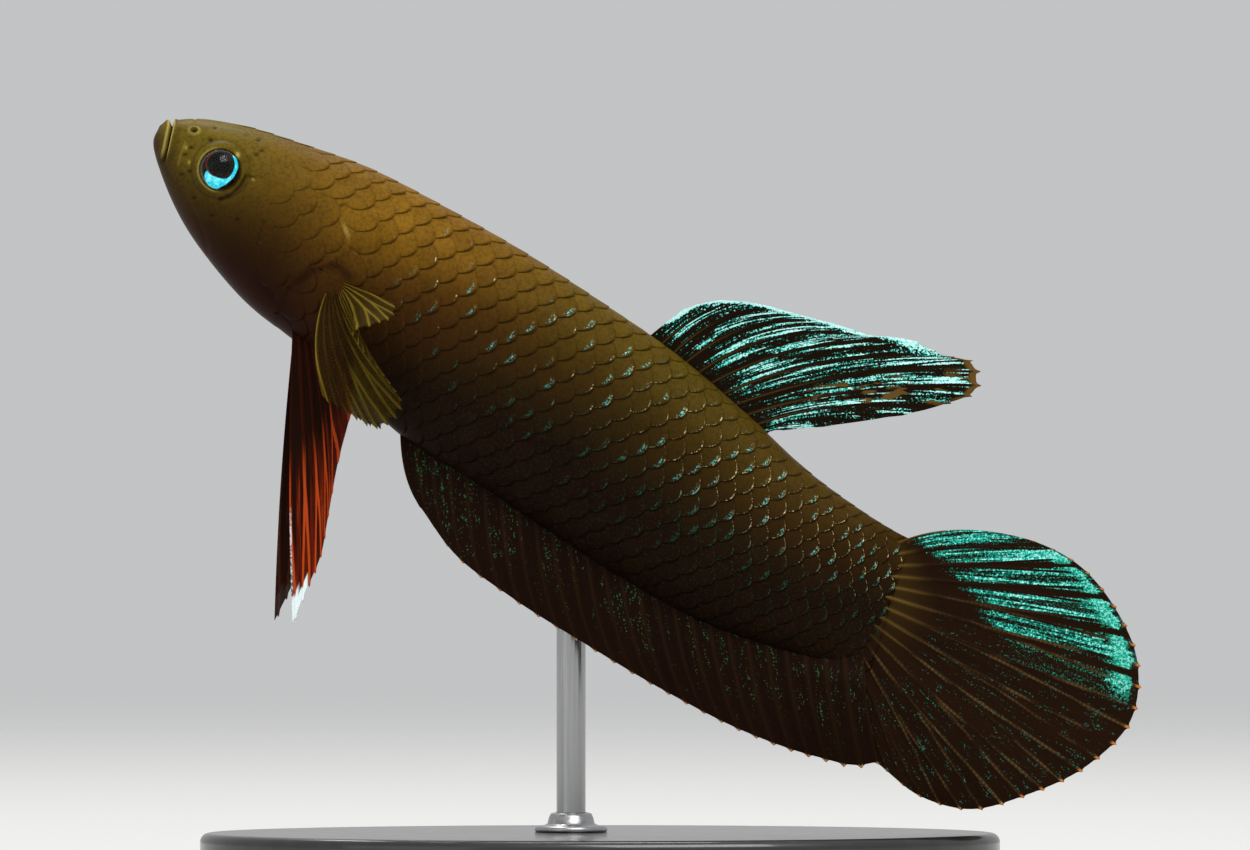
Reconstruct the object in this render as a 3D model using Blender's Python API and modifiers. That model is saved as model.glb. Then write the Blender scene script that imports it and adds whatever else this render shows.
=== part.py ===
"""A wild-type betta, a small short-finned labyrinth fish, as a still life-size model.

It swims nose up, so a plain stand holds it: an oval base and one rod beside the anal fin.
Sizes are millimetres until a mesh is made, which is in metres. +X runs from snout to tail,
+Z is up, and the fish's left side faces -Y. The origin is the middle of the base's underside.
"""

import math

import bmesh
import bpy
import numpy as np
from mathutils import Matrix

MM = 0.001
GAP = 0.3  # between solids that touch in life
FIN_THICK = 0.5
ROOT_DEPTH = 0.8  # how far the anal fin's sheet starts inside the body

# Stations of the body from lips to tail root: back x, z, belly x, z, and half the width.
BODY = (
    (-23.82, 43.20, -24.28, 42.88, 0.50),
    (-23.35, 43.24, -24.62, 41.95, 1.10),
    (-22.60, 43.32, -24.28, 40.50, 1.60),
    (-21.50, 43.28, -23.45, 38.45, 2.20),
    (-19.80, 42.98, -22.35, 36.55, 2.78),
    (-17.60, 42.40, -20.60, 34.30, 3.22),
    (-15.40, 41.70, -18.95, 32.62, 3.46),
    (-12.40, 40.58, -16.55, 30.70, 3.55),
    (-8.25, 38.42, -13.40, 27.90, 3.48),
    (-4.10, 36.05, -10.65, 25.45, 3.34),
    (0.00, 33.40, -7.00, 23.20, 3.12),
    (4.20, 30.50, -2.95, 20.50, 2.84),
    (8.25, 27.05, 1.55, 17.65, 2.46),
    (11.70, 23.85, 6.00, 15.30, 2.02),
    (14.80, 21.60, 10.80, 13.70, 1.38),
    (17.15, 20.20, 14.85, 12.85, 0.55),
)
SECTIONS = 46
RING = 28
LIFT = 0.16  # how far above mid depth the body is widest, as a share of half the depth
BACK_FULLNESS = 0.86  # powers of the outline: under 1 is fuller than an ellipse
BELLY_FULLNESS = 1.06

# The head ends along the gill opening: over the nape, down behind the cover, then forward.
GILL_EDGE = (
    (-13.35, 44.00),
    (-13.50, 41.00),
    (-13.40, 38.60),
    (-13.45, 37.00),
    (-13.95, 35.80),
    (-14.75, 35.15),
    (-15.90, 34.80),
    (-16.95, 34.15),
    (-17.60, 33.10),
    (-17.95, 31.90),
    (-18.30, 29.50),
)
# The front of the gill cover, from its top corner to the throat, and how thick the cover is.
COVER_FRONT = (
    (-12.00, 39.20),
    (-15.40, 39.45),
    (-17.15, 39.15),
    (-18.30, 37.90),
    (-18.75, 36.20),
    (-18.55, 34.60),
    (-17.60, 32.90),
    (-16.50, 32.00),
)
COVER_THICK = 0.9
COVER_INNER_Y = 0.7  # the two covers stay this far from the middle plane
COVER_CORNER = (-10.5, 31.0)  # closes the cover's outline behind the gill opening
CORE_STATIONS = (3, 10)
# The mouth's cleft from the lips to its corner, then the rear of the lower jaw to the chin.
JAW_LINE = (
    (-23.55, 44.00),
    (-23.56, 42.90),
    (-23.84, 41.60),
    (-24.02, 40.85),
    (-23.30, 39.70),
    (-22.45, 38.40),
    (-21.80, 37.00),
    (-21.80, 34.50),
)
TAIL_STEM_CUT = ((13.90, 25.60), (5.70, 12.90))
OUTSIDE = 12.0  # reach of the regions past the body

EYE_AT = (-20.98, 2.05, 40.68)
EYE_RADIUS = 1.30
EYE_DEPTH = 1.05  # half the eyeball's depth across the head

# Root lines and margins of the fins. Roots lie inside the body, which is then cut away.
DORSAL_ROOT = ((2.95, 30.70), (8.30, 25.90))
DORSAL_MARGIN = (
    (4.60, 32.80),
    (6.20, 33.25),
    (8.50, 33.15),
    (11.00, 32.50),
    (13.30, 31.90),
    (15.30, 31.30),
    (17.10, 31.15),
    (19.00, 30.30),
    (20.80, 29.75),
    (20.95, 28.45),
    (19.00, 27.50),
    (16.00, 26.85),
    (12.80, 26.40),
    (10.10, 26.15),
)
DORSAL_MIDDLE = ((3.30, 32.60), (6.50, 33.00), (10.50, 31.20), (13.00, 29.00), (9.30, 26.30))
CAUDAL_ROOT = ((16.30, 19.60), (16.30, 16.60), (14.95, 13.30))
CAUDAL_MARGIN = (
    (19.00, 20.62),
    (21.20, 20.60),
    (23.90, 20.05),
    (26.30, 18.85),
    (28.45, 16.40),
    (29.75, 13.20),
    (29.40, 10.20),
    (27.00, 7.65),
    (23.60, 6.00),
    (20.30, 5.20),
    (17.90, 5.90),
    (15.95, 7.30),
)
ANAL_MARGIN = (
    (-9.90, 21.95),
    (-7.95, 19.20),
    (-4.90, 16.85),
    (-0.70, 14.20),
    (4.00, 11.45),
    (8.30, 9.30),
    (12.00, 8.00),
    (14.30, 7.55),
    (14.95, 7.75),
)
ANAL_MIDDLE = (
    (-11.10, 23.60),
    (-8.30, 21.30),
    (-1.00, 16.40),
    (7.00, 12.00),
    (14.30, 10.60),
)
ANAL_ROOT_FROM = 8.75  # in stations of the body, from the vent to the tail root
ANAL_ROOT_TO = 14.75
PELVIC_ROOT = ((-16.90, 31.60), (-15.10, 30.60))
PELVIC_MARGIN = (
    (-16.83, 15.20),
    (-16.05, 17.20),
    (-15.35, 18.90),
    (-14.90, 21.30),
    (-14.35, 24.30),
    (-13.75, 26.60),
    (-13.45, 28.00),
)
PELVIC_MIDDLE = ((-17.20, 23.50), (-16.00, 24.30), (-14.00, 29.60))
PELVIC_ROOT_Y = 0.95
PELVIC_SPLAY = 1.9  # how far the tip stands out from the root
PELVIC_SWING = 4.2  # degrees that the right fin is held further forward
# The pectoral fin is cupped: its middle rays point outwards. Points: x, from the middle, z.
PECTORAL_HUB = (-14.65, 3.00, 34.15)
PECTORAL_HUB_RADIUS = 0.65
PECTORAL_HUB_ARC = (5.0, -125.0)  # degrees, from the top ray's root to the lowest ray's
PECTORAL_MIDDLE = (
    (-12.95, 5.00, 33.75),
    (-12.85, 5.70, 33.05),
    (-13.10, 5.90, 32.25),
    (-13.20, 5.50, 31.50),
    (-13.50, 4.90, 30.80),
    (-14.60, 4.50, 30.60),
    (-16.10, 4.20, 31.10),
)
PECTORAL_MARGIN = (
    (-11.15, 6.00, 33.05),
    (-11.25, 6.80, 32.35),
    (-12.20, 7.70, 31.90),
    (-13.45, 8.00, 31.45),
    (-13.10, 7.50, 30.70),
    (-12.10, 6.80, 29.50),
    (-11.25, 6.00, 28.40),
    (-10.75, 5.40, 27.45),
    (-11.10, 5.00, 26.75),
    (-12.20, 4.70, 26.20),
    (-13.30, 4.50, 26.70),
    (-15.10, 4.40, 27.80),
)

BASE_LENGTH = 44.0
BASE_WIDTH = 28.0
BASE_THICK = 4.0
BASE_EDGE = 0.5  # bevel along the rims
ROD_RADIUS = 0.8
ROD_AT = (-1.6, 1.75)
ROD_TOP = 26.0  # before the body's underside trims it
ROD_SOCKET_DEPTH = 2.0

for old in list(bpy.data.objects):
    bpy.data.objects.remove(old)


def collection(name):
    made = bpy.data.collections.new(name)
    bpy.context.scene.collection.children.link(made)
    return made


PARTS = collection("betta_fish")
CUTTERS = collection("cutters")


def material(name, colour, roughness, metallic=0.0):
    made = bpy.data.materials.new(name)
    made.use_nodes = True
    shader = made.node_tree.nodes["Principled BSDF"]
    shader.inputs["Base Color"].default_value = (*colour, 1.0)
    shader.inputs["Roughness"].default_value = roughness
    shader.inputs["Metallic"].default_value = metallic
    return made


OLIVE_SKIN = material("olive_skin", (0.16, 0.085, 0.02), 0.45)
DARK_SKIN = material("dark_skin", (0.045, 0.018, 0.009), 0.45)
JAW_SKIN = material("jaw_skin", (0.13, 0.075, 0.025), 0.45)
COVER_SKIN = material("gill_cover_skin", (0.10, 0.055, 0.016), 0.4)
CYAN_EYE = material("cyan_eye", (0.04, 0.45, 0.48), 0.1)
TURQUOISE_FIN = material("turquoise_fin", (0.07, 0.40, 0.42), 0.35)
BLUE_TAIL = material("blue_tail_fin", (0.03, 0.16, 0.15), 0.35)
MAROON_FIN = material("maroon_fin", (0.022, 0.012, 0.008), 0.4)
RED_FIN = material("red_fin", (0.20, 0.035, 0.012), 0.4)
CLEAR_FIN = material("clear_olive_fin", (0.20, 0.13, 0.035), 0.35)
BLACK_BASE = material("black_lacquer", (0.02, 0.02, 0.022), 0.3)
STEEL_ROD = material("steel_rod", (0.55, 0.55, 0.56), 0.3, metallic=1.0)


def smooth_line(points, count):
    """Even steps along a smooth curve through points, as an array of count rows."""
    points = np.asarray(points, float)
    length = np.linalg.norm(np.diff(points, axis=0), axis=1)
    at = np.concatenate([[0.0], np.cumsum(length)])
    return through(points, at, np.linspace(0.0, at[-1], count))


def through(points, at, places):
    """A cubic Hermite curve that passes points at the values at, read at places."""
    slope = np.gradient(points, at, axis=0)
    left = np.clip(np.searchsorted(at, places, side="right") - 1, 0, len(at) - 2)
    step = (at[left + 1] - at[left])[:, None]
    u = (places[:, None] - at[left][:, None]) / step
    return (
        (2 * u**3 - 3 * u**2 + 1) * points[left]
        + (u**3 - 2 * u**2 + u) * step * slope[left]
        + (3 * u**2 - 2 * u**3) * points[left + 1]
        + (u**3 - u**2) * step * slope[left + 1]
    )


def body_rows(places):
    """The body's stations read between their rows: back x, z, belly x, z, half width."""
    rows = np.array(BODY)
    return through(rows, np.arange(len(rows), dtype=float), np.asarray(places, float))


def new_object(name, mesh, look, group=PARTS):
    made = bpy.data.objects.new(name, mesh)
    group.objects.link(made)
    mesh.materials.append(look)
    mesh.shade_smooth()
    if group is CUTTERS:
        made.hide_render = True
        made.display_type = "WIRE"
    return made


def mesh_of(name, points, faces):
    """A mesh from points in millimetres and faces, with every face turned outwards."""
    made = bpy.data.meshes.new(name)
    made.from_pydata([tuple(float(v) * MM for v in p) for p in points], [], faces)
    shape = bmesh.new()
    shape.from_mesh(made)
    bmesh.ops.recalc_face_normals(shape, faces=shape.faces)
    shape.to_mesh(made)
    shape.free()
    return made


def body_mesh(name, grow=0.0, first=0, last=len(BODY) - 1, sections=SECTIONS):
    """The body as a loft between two of its stations, grown on all sides by a margin."""
    rows = body_rows(np.linspace(first, last, sections))
    rings = []
    for bx, bz, lx, lz, half_width in rows:
        back, belly = np.array([bx, bz]), np.array([lx, lz])
        half_depth = (back - belly) / 2
        middle = (back + belly) / 2
        half_depth *= 1 + grow / np.linalg.norm(half_depth)
        ring = []
        for k in range(RING):
            turn = math.tau * k / RING
            up, out = math.cos(turn), math.sin(turn)
            power = BACK_FULLNESS if up > 0 else BELLY_FULLNESS
            height = up + LIFT * (1 - up * up)
            width = math.copysign(abs(out) ** power, out) * (half_width + grow)
            x, z = middle + half_depth * height
            ring.append(np.array([x, width, z]))
        rings.append(np.array(ring))
    for end, inner in ((0, 1), (-1, -2)):
        outwards = rings[end].mean(axis=0) - rings[inner].mean(axis=0)
        rings[end] += outwards / np.linalg.norm(outwards) * grow
    points = np.concatenate(rings)
    faces = [
        (
            r * RING + k,
            r * RING + (k + 1) % RING,
            (r + 1) * RING + (k + 1) % RING,
            (r + 1) * RING + k,
        )
        for r in range(sections - 1)
        for k in range(RING)
    ]
    faces.append(tuple(range(RING)))
    faces.append(tuple(range((sections - 1) * RING, sections * RING)))
    return mesh_of(name, points, faces)


def offset(line, distance):
    """A line of x, z points moved sideways, to the left of its direction of travel."""
    line = np.asarray(line, float)
    along = np.gradient(line, axis=0)
    along /= np.linalg.norm(along, axis=1)[:, None]
    return line + distance * np.stack([-along[:, 1], along[:, 0]], axis=1)


def region(name, outline, near_y=-OUTSIDE, far_y=OUTSIDE):
    """A cutter: an outline in the x, z plane, filled and carried through from near to far."""
    curve = bpy.data.curves.new(name, "CURVE")
    curve.dimensions = "2D"
    curve.fill_mode = "BOTH"
    curve.extrude = (far_y - near_y) / 2 * MM
    spline = curve.splines.new("POLY")
    spline.points.add(len(outline) - 1)
    for point, (x, z) in zip(spline.points, outline):
        point.co = (x * MM, z * MM, 0.0, 1.0)
    spline.use_cyclic_u = True
    flat = bpy.data.objects.new(name + "_outline", curve)
    flat.location.y = (near_y + far_y) / 2 * MM
    flat.rotation_euler.x = math.pi / 2
    CUTTERS.objects.link(flat)
    graph = bpy.context.evaluated_depsgraph_get()
    solid = bpy.data.meshes.new_from_object(flat.evaluated_get(graph))
    solid.transform(flat.matrix_world)
    bpy.data.objects.remove(flat)
    shape = bmesh.new()
    shape.from_mesh(solid)
    bmesh.ops.remove_doubles(shape, verts=shape.verts, dist=0.01 * MM)
    bmesh.ops.recalc_face_normals(shape, faces=shape.faces)
    shape.to_mesh(solid)
    shape.free()
    return new_object(name, solid, DARK_SKIN, CUTTERS)


def boolean(target, operation, tool):
    step = target.modifiers.new(operation.lower() + "_" + tool.name, "BOOLEAN")
    step.operation = operation
    step.solver = "EXACT"
    step.object = tool
    return step


def eyeball(name, side, grow, look, group):
    """An eye, or the hollow it sits in: a ball that is shallower across the head."""
    mesh = bpy.data.meshes.new(name)
    shape = bmesh.new()
    bmesh.ops.create_uvsphere(shape, u_segments=24, v_segments=12, radius=1.0)
    size = ((EYE_RADIUS + grow) * MM, (EYE_RADIUS + grow) * MM, (EYE_DEPTH + grow) * MM)
    bmesh.ops.scale(shape, vec=size, verts=shape.verts)
    shape.to_mesh(mesh)
    shape.free()
    made = new_object(name, mesh, look, group)
    x, y, z = EYE_AT
    made.location = (x * MM, side * y * MM, z * MM)
    made.rotation_euler.x = math.pi / 2
    return made


def fin(name, roots, margin, look, rays, middle=None, sway=None, side=0, steps=6):
    """A fin: a sheet spanned by rays from its root line to its margin, then thickened.

    The rays bend towards the middle line, where one is given. Sway moves the sheet sideways
    by how far along the rays it is, and side picks the side of a paired fin.
    """
    roots, tips = smooth_line(roots, rays), smooth_line(margin, rays)
    bends = (roots + tips) / 2 if middle is None else smooth_line(middle, rays)
    points = []
    for root, bend, tip in zip(roots, bends, tips):
        for j in range(steps + 1):
            u = j / steps
            place = (1 - u) ** 2 * root + 2 * u * (1 - u) * bend + u**2 * tip
            y = place[1] if len(place) == 3 else 0.0
            y += sway(u) if sway else 0.0
            points.append((place[0], side * y if side else y, place[-1]))
    faces = [
        (
            i * (steps + 1) + j,
            i * (steps + 1) + j + 1,
            (i + 1) * (steps + 1) + j + 1,
            (i + 1) * (steps + 1) + j,
        )
        for i in range(rays - 1)
        for j in range(steps)
    ]
    made = new_object(name, mesh_of(name, points, faces), look)
    thicken = made.modifiers.new("thickness", "SOLIDIFY")
    thicken.thickness = FIN_THICK * MM
    thicken.offset = 0.0
    boolean(made, "DIFFERENCE", grown_body)
    return made


def upright(name, radius, at, bottom, top_z, look, sides=24, group=PARTS):
    """A round upright pin or plate between two heights."""
    bpy.ops.mesh.primitive_cylinder_add(vertices=sides, radius=radius, depth=top_z - bottom)
    made = bpy.context.object
    made.name = name
    mesh = made.data
    mesh.transform(Matrix.Translation((*at, (bottom + top_z) / 2)))
    mesh.transform(Matrix.Scale(MM, 4))
    bpy.data.objects.remove(made)
    mesh.name = name
    kept = new_object(name, mesh, look, group)
    mesh.set_sharp_from_angle(angle=math.radians(40))
    return kept


# The whole body, grown by the gap, trims every fin and the rod to fit it.
grown_body = new_object("body_and_gap", body_mesh("body_and_gap", GAP), DARK_SKIN, CUTTERS)


def head_core(name, depth):
    """The inside of the head and shoulders, a depth below the skin."""
    mesh = body_mesh(name, -depth, *CORE_STATIONS, sections=24)
    return new_object(name, mesh, DARK_SKIN, CUTTERS)


under_cover = head_core("under_cover", COVER_THICK)
under_clearance = head_core("under_clearance", COVER_THICK + GAP)

gill_edge = smooth_line(GILL_EDGE, 24)
cover_front = smooth_line(COVER_FRONT, 20)
jaw_line = smooth_line(JAW_LINE, 20)
tail_cut = np.array(TAIL_STEM_CUT)
front = min(row[2] for row in BODY) - OUTSIDE
top = max(row[1] for row in BODY) + OUTSIDE
low = min(row[3] for row in BODY) - OUTSIDE
rear = max(row[0] for row in BODY) + OUTSIDE


def half_of(line, distance, corners):
    """The area between a cut line, moved sideways, and the corners that close it."""
    return [tuple(p) for p in offset(line, distance)] + list(corners)


head_region = region(
    "head_region", half_of(gill_edge, -GAP / 2, ((front, low), (front, top)))
)
trunk_front = region(
    "trunk_front", half_of(gill_edge, GAP / 2, ((rear, low), (rear, top)))
)
trunk_rear = region(
    "trunk_rear", half_of(tail_cut, -GAP / 2, ((front, low), (front, top)))
)
stem_region = region(
    "stem_region", half_of(tail_cut, GAP / 2, ((rear, low), (rear, top)))
)
jaw_region = region(
    "jaw_region", half_of(jaw_line, -GAP / 2, ((front, low), (front, top)))
)
jaw_clearance = region(
    "jaw_clearance", half_of(jaw_line, GAP / 2, ((front, low), (front, top)))
)


def body_part(name, look):
    return new_object(name, body_mesh(name), look)


lower_jaw = body_part("lower_jaw", JAW_SKIN)
boolean(lower_jaw, "INTERSECT", jaw_region)

head = body_part("head", OLIVE_SKIN)
boolean(head, "INTERSECT", head_region)
boolean(head, "DIFFERENCE", jaw_clearance)

trunk = body_part("trunk", DARK_SKIN)
boolean(trunk, "INTERSECT", trunk_front)
boolean(trunk, "INTERSECT", trunk_rear)

tail_stem = body_part("tail_stem", DARK_SKIN)
boolean(tail_stem, "INTERSECT", stem_region)

for side_name, side in (("left", -1), ("right", 1)):
    inner, outer = sorted((side * COVER_INNER_Y, side * OUTSIDE))
    cover_region = region(
        "cover_region_" + side_name, half_of(cover_front, 0.0, [COVER_CORNER]), inner, outer
    )
    cover = body_part("gill_cover_" + side_name, COVER_SKIN)
    boolean(cover, "INTERSECT", head_region)
    boolean(cover, "INTERSECT", cover_region)
    boolean(cover, "DIFFERENCE", under_cover)

    inner, outer = sorted((side * (COVER_INNER_Y - GAP), side * OUTSIDE))
    clearance = region(
        "cover_clearance_" + side_name,
        half_of(cover_front, -GAP, [COVER_CORNER]),
        inner,
        outer,
    )
    boolean(clearance, "DIFFERENCE", under_clearance)
    boolean(head, "DIFFERENCE", clearance)

    hollow = eyeball("eye_socket_" + side_name, side, GAP, DARK_SKIN, CUTTERS)
    boolean(head, "DIFFERENCE", hollow)
    eyeball("eye_" + side_name, side, 0.0, CYAN_EYE, PARTS)

fin("dorsal_fin", DORSAL_ROOT, DORSAL_MARGIN, TURQUOISE_FIN, rays=22, middle=DORSAL_MIDDLE)
fin("caudal_fin", CAUDAL_ROOT, CAUDAL_MARGIN, BLUE_TAIL, rays=26)

keel = body_rows(np.linspace(ANAL_ROOT_FROM, ANAL_ROOT_TO, 12))
inwards = keel[:, :2] - keel[:, 2:4]
inwards /= np.linalg.norm(inwards, axis=1)[:, None]
anal_root = keel[:, 2:4] + inwards * ROOT_DEPTH
fin("anal_fin", anal_root, ANAL_MARGIN, MAROON_FIN, rays=30, middle=ANAL_MIDDLE)


def pelvic_splay(along):
    return PELVIC_ROOT_Y + PELVIC_SPLAY * along


def swung(points, pivot, degrees):
    """Points of the x, z plane turned about a pivot, so that what hangs goes forwards."""
    a = math.radians(degrees)
    turn = np.array([[math.cos(a), -math.sin(a)], [math.sin(a), math.cos(a)]])
    return (np.asarray(points) - pivot) @ turn + pivot


hip = np.mean(PELVIC_ROOT, axis=0)
hub_turn = np.radians(np.linspace(*PECTORAL_HUB_ARC, 8))
hub_arc = np.stack([np.cos(hub_turn), 0 * hub_turn, np.sin(hub_turn)], axis=1)
pectoral_root = np.array(PECTORAL_HUB) + PECTORAL_HUB_RADIUS * hub_arc
for side_name, side, swing in (("left", -1, 0.0), ("right", 1, PELVIC_SWING)):
    fin(
        "pelvic_fin_" + side_name,
        swung(PELVIC_ROOT, hip, swing),
        swung(PELVIC_MARGIN, hip, swing),
        RED_FIN,
        rays=10,
        middle=swung(PELVIC_MIDDLE, hip, swing),
        sway=pelvic_splay,
        side=side,
    )
    fin(
        "pectoral_fin_" + side_name,
        pectoral_root,
        PECTORAL_MARGIN,
        CLEAR_FIN,
        rays=20,
        middle=PECTORAL_MIDDLE,
        side=side,
    )

base = upright("stand_base", 0.5, (0.0, 0.0), 0.0, BASE_THICK, BLACK_BASE, sides=64)
base.data.transform(Matrix.Diagonal((BASE_LENGTH, BASE_WIDTH, 1.0, 1.0)))
rims = base.modifiers.new("rims", "BEVEL")
rims.width = BASE_EDGE * MM
rims.segments = 2
rims.limit_method = "ANGLE"
socket = upright(
    "rod_socket",
    ROD_RADIUS + GAP,
    ROD_AT,
    BASE_THICK - ROD_SOCKET_DEPTH,
    BASE_THICK + 1.0,
    DARK_SKIN,
    group=CUTTERS,
)
boolean(base, "DIFFERENCE", socket)
rod = upright(
    "stand_rod",
    ROD_RADIUS,
    ROD_AT,
    BASE_THICK - ROD_SOCKET_DEPTH + GAP,
    ROD_TOP,
    STEEL_ROD,
)
boolean(rod, "DIFFERENCE", grown_body)
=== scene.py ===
"""The looks of a wild-type betta, made as a still, life-size museum model on its stand.

Lengths are millimetres until a mesh is made. +X runs from snout to tail, +Z is up, and the
fish's left side faces -Y, towards the camera.
"""

import math

import bpy
import numpy as np
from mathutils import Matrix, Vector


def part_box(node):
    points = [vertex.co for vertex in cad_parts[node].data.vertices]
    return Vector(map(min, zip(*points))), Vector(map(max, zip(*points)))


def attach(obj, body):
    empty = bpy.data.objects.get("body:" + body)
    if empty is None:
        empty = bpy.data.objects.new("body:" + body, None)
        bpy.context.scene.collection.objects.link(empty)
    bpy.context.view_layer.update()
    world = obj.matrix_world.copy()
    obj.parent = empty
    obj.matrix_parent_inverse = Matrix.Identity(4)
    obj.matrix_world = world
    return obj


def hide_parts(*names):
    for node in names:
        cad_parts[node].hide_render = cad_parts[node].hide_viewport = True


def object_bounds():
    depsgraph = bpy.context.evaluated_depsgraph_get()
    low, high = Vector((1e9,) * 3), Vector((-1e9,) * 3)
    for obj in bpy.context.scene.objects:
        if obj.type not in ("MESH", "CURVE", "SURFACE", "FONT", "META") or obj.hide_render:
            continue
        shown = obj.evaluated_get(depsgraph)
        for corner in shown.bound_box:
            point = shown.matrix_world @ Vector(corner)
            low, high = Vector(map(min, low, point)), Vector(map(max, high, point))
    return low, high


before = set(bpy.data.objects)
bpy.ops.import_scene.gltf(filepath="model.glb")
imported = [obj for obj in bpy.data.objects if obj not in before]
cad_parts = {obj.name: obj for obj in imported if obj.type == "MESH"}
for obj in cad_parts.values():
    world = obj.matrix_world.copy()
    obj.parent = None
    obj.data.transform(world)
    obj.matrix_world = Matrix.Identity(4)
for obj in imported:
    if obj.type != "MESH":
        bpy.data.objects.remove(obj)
cad_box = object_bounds()


# ---------------------------------------------------------------------------- studio
# A round pale floor that fades into pale air, under soft lamps, as a museum lights a small
# mount. The camera looks level at the fish's left side through a long lens.
MM = 0.001
VIEW_WIDTH = 68.75
VIEW_LEFT_OF_MIDDLE = 1.2  # the camera's aim, from the middle of the model
VIEW_BELOW_TOP = 16.895
VIEW_DISTANCE = 700.0
SENSOR_WIDTH = 36.0
FLOOR_RADIUS = 900.0
FLOOR_RINGS = 12
FLOOR_SIDES = 96
FLOOR_FADE = (70.0, 620.0)  # radii between which the floor fades into the air
LAMPS = (  # name, place, side length, watts
    ("key_lamp", (160.0, -420.0, 560.0), 380.0, 2.9),
    ("fill_lamp", (-480.0, -560.0, 240.0), 420.0, 0.3),
    ("rim_lamp", (-60.0, 240.0, 520.0), 260.0, 1.6),
)
CARD_WHITE = (0.66, 0.66, 0.64)
AIR_WHITE = (0.97, 0.98, 0.99)
AIR_LIGHT = 0.56

low, high = [np.array(corner) / MM for corner in cad_box]
aim = np.array([(low[0] + high[0]) / 2 - VIEW_LEFT_OF_MIDDLE, 0.0, high[2] - VIEW_BELOW_TOP])

camera = bpy.data.objects.new("camera", bpy.data.cameras.new("camera"))
camera.data.sensor_width = SENSOR_WIDTH
camera.data.lens = SENSOR_WIDTH * VIEW_DISTANCE / VIEW_WIDTH
camera.data.clip_start = 0.01
camera.location = (aim + (0.0, -VIEW_DISTANCE, 0.0)) * MM
camera.rotation_euler = (math.pi / 2, 0.0, 0.0)
bpy.context.scene.collection.objects.link(camera)
bpy.context.scene.camera = camera
bpy.context.scene.view_settings.view_transform = "Standard"

for lamp_name, place, side_length, watts in LAMPS:
    lamp = bpy.data.objects.new(lamp_name, bpy.data.lights.new(lamp_name, "AREA"))
    lamp.data.size = side_length * MM
    lamp.data.energy = watts
    lamp.location = np.array(place) * MM
    towards = Vector((aim - place) * MM)
    lamp.rotation_euler = towards.to_track_quat("-Z", "Y").to_euler()
    bpy.context.scene.collection.objects.link(lamp)

world = bpy.data.worlds.new("studio_air")
world.use_nodes = True
world.node_tree.nodes["Background"].inputs["Color"].default_value = (*AIR_WHITE, 1.0)
world.node_tree.nodes["Background"].inputs["Strength"].default_value = AIR_LIGHT
bpy.context.scene.world = world


class Wire:
    """An output of one of a material's nodes. Sums and products of wires add Math nodes."""

    def __init__(self, tree, socket=None):
        self.tree = tree
        self.socket = socket

    def node(self, kind, settings=None, sockets=None, output=0):
        """Adds a node: its settings are set first, then the values or wires of its sockets."""
        made = self.tree.nodes.new(kind)
        for key, value in (settings or {}).items():
            if key == "stops":
                ramp = made.color_ramp
                ramp.elements.remove(ramp.elements[1])
                for place, colour in value:
                    stop = ramp.elements.new(place)
                    stop.color = (*colour, 1.0) if len(colour) == 3 else colour
                ramp.elements.remove(ramp.elements[0])
            else:
                setattr(made, key, value)
        for key, value in (sockets or {}).items():
            entry = pick(made.inputs, key)
            if isinstance(value, Wire):
                self.tree.links.new(value.socket, entry)
            elif isinstance(value, tuple) and entry.type == "RGBA":
                entry.default_value = (*value[:3], 1.0)
            else:
                entry.default_value = value
        return Wire(self.tree, pick(made.outputs, output))

    def math(self, operation, a, b=0.0):
        return self.node("ShaderNodeMath", {"operation": operation}, {0: a, 1: b})

    def __add__(self, other):
        return self.math("ADD", self, other)

    def __radd__(self, other):
        return self.math("ADD", other, self)

    def __sub__(self, other):
        return self.math("SUBTRACT", self, other)

    def __rsub__(self, other):
        return self.math("SUBTRACT", other, self)

    def __mul__(self, other):
        return self.math("MULTIPLY", self, other)

    def __rmul__(self, other):
        return self.math("MULTIPLY", other, self)

    def __truediv__(self, other):
        return self.math("DIVIDE", self, other)

    def __pow__(self, other):
        return self.math("POWER", self, other)

    def top(self, other):
        return self.math("MAXIMUM", self, other)

    def least(self, other):
        return self.math("MINIMUM", self, other)

    def smooth(self, start, end):
        """0 before start, 1 after end, and an even turn between them."""
        return self.node(
            "ShaderNodeMapRange",
            {"interpolation_type": "SMOOTHSTEP"},
            {"Value": self, "From Min": start, "From Max": end},
        )

    def mix(self, a, b):
        """Colour a where this wire is 0, and colour b where it is 1."""
        return self.node(
            "ShaderNodeMix",
            {"data_type": "RGBA"},
            {"Factor_Float": self, "A_Color": a, "B_Color": b},
            "Result_Color",
        )

    def ramp(self, *stops):
        return self.node("ShaderNodeValToRGB", {"stops": stops}, {"Fac": self})

    def levels(self, *stops):
        """A ramp of plain numbers from 0 to 1."""
        return self.ramp(*[(at, (value,) * 3) for at, value in stops])

    def attribute(self, name):
        return self.node("ShaderNodeAttribute", {"attribute_name": name}, output="Fac")

    def attributes(self, *names):
        return [self.attribute(name) for name in names]

    def place(self):
        return self.node("ShaderNodeTexCoord", output="Object")

    def noise(self, vector, scale, detail=2.0, roughness=0.5):
        return self.node(
            "ShaderNodeTexNoise",
            None,
            {"Vector": vector, "Scale": scale, "Detail": detail, "Roughness": roughness},
        )

    def grid(self, x, y):
        """A texture's place from separate numbers."""
        return self.node("ShaderNodeCombineXYZ", None, {"X": x, "Y": y})

    def stretched(self, x, y, z):
        """The place on the object, with so many waves of a texture to each metre."""
        settings = {"operation": "MULTIPLY"}
        return self.node("ShaderNodeVectorMath", settings, {0: self.place(), 1: (x, y, z)}, "Vector")

    def bump(self, height, depth):
        """A normal for a height that is 1 at the given number of millimetres."""
        return self.node(
            "ShaderNodeBump", None, {"Height": height, "Distance": depth * MM, "Strength": 1.0}
        )


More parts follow.
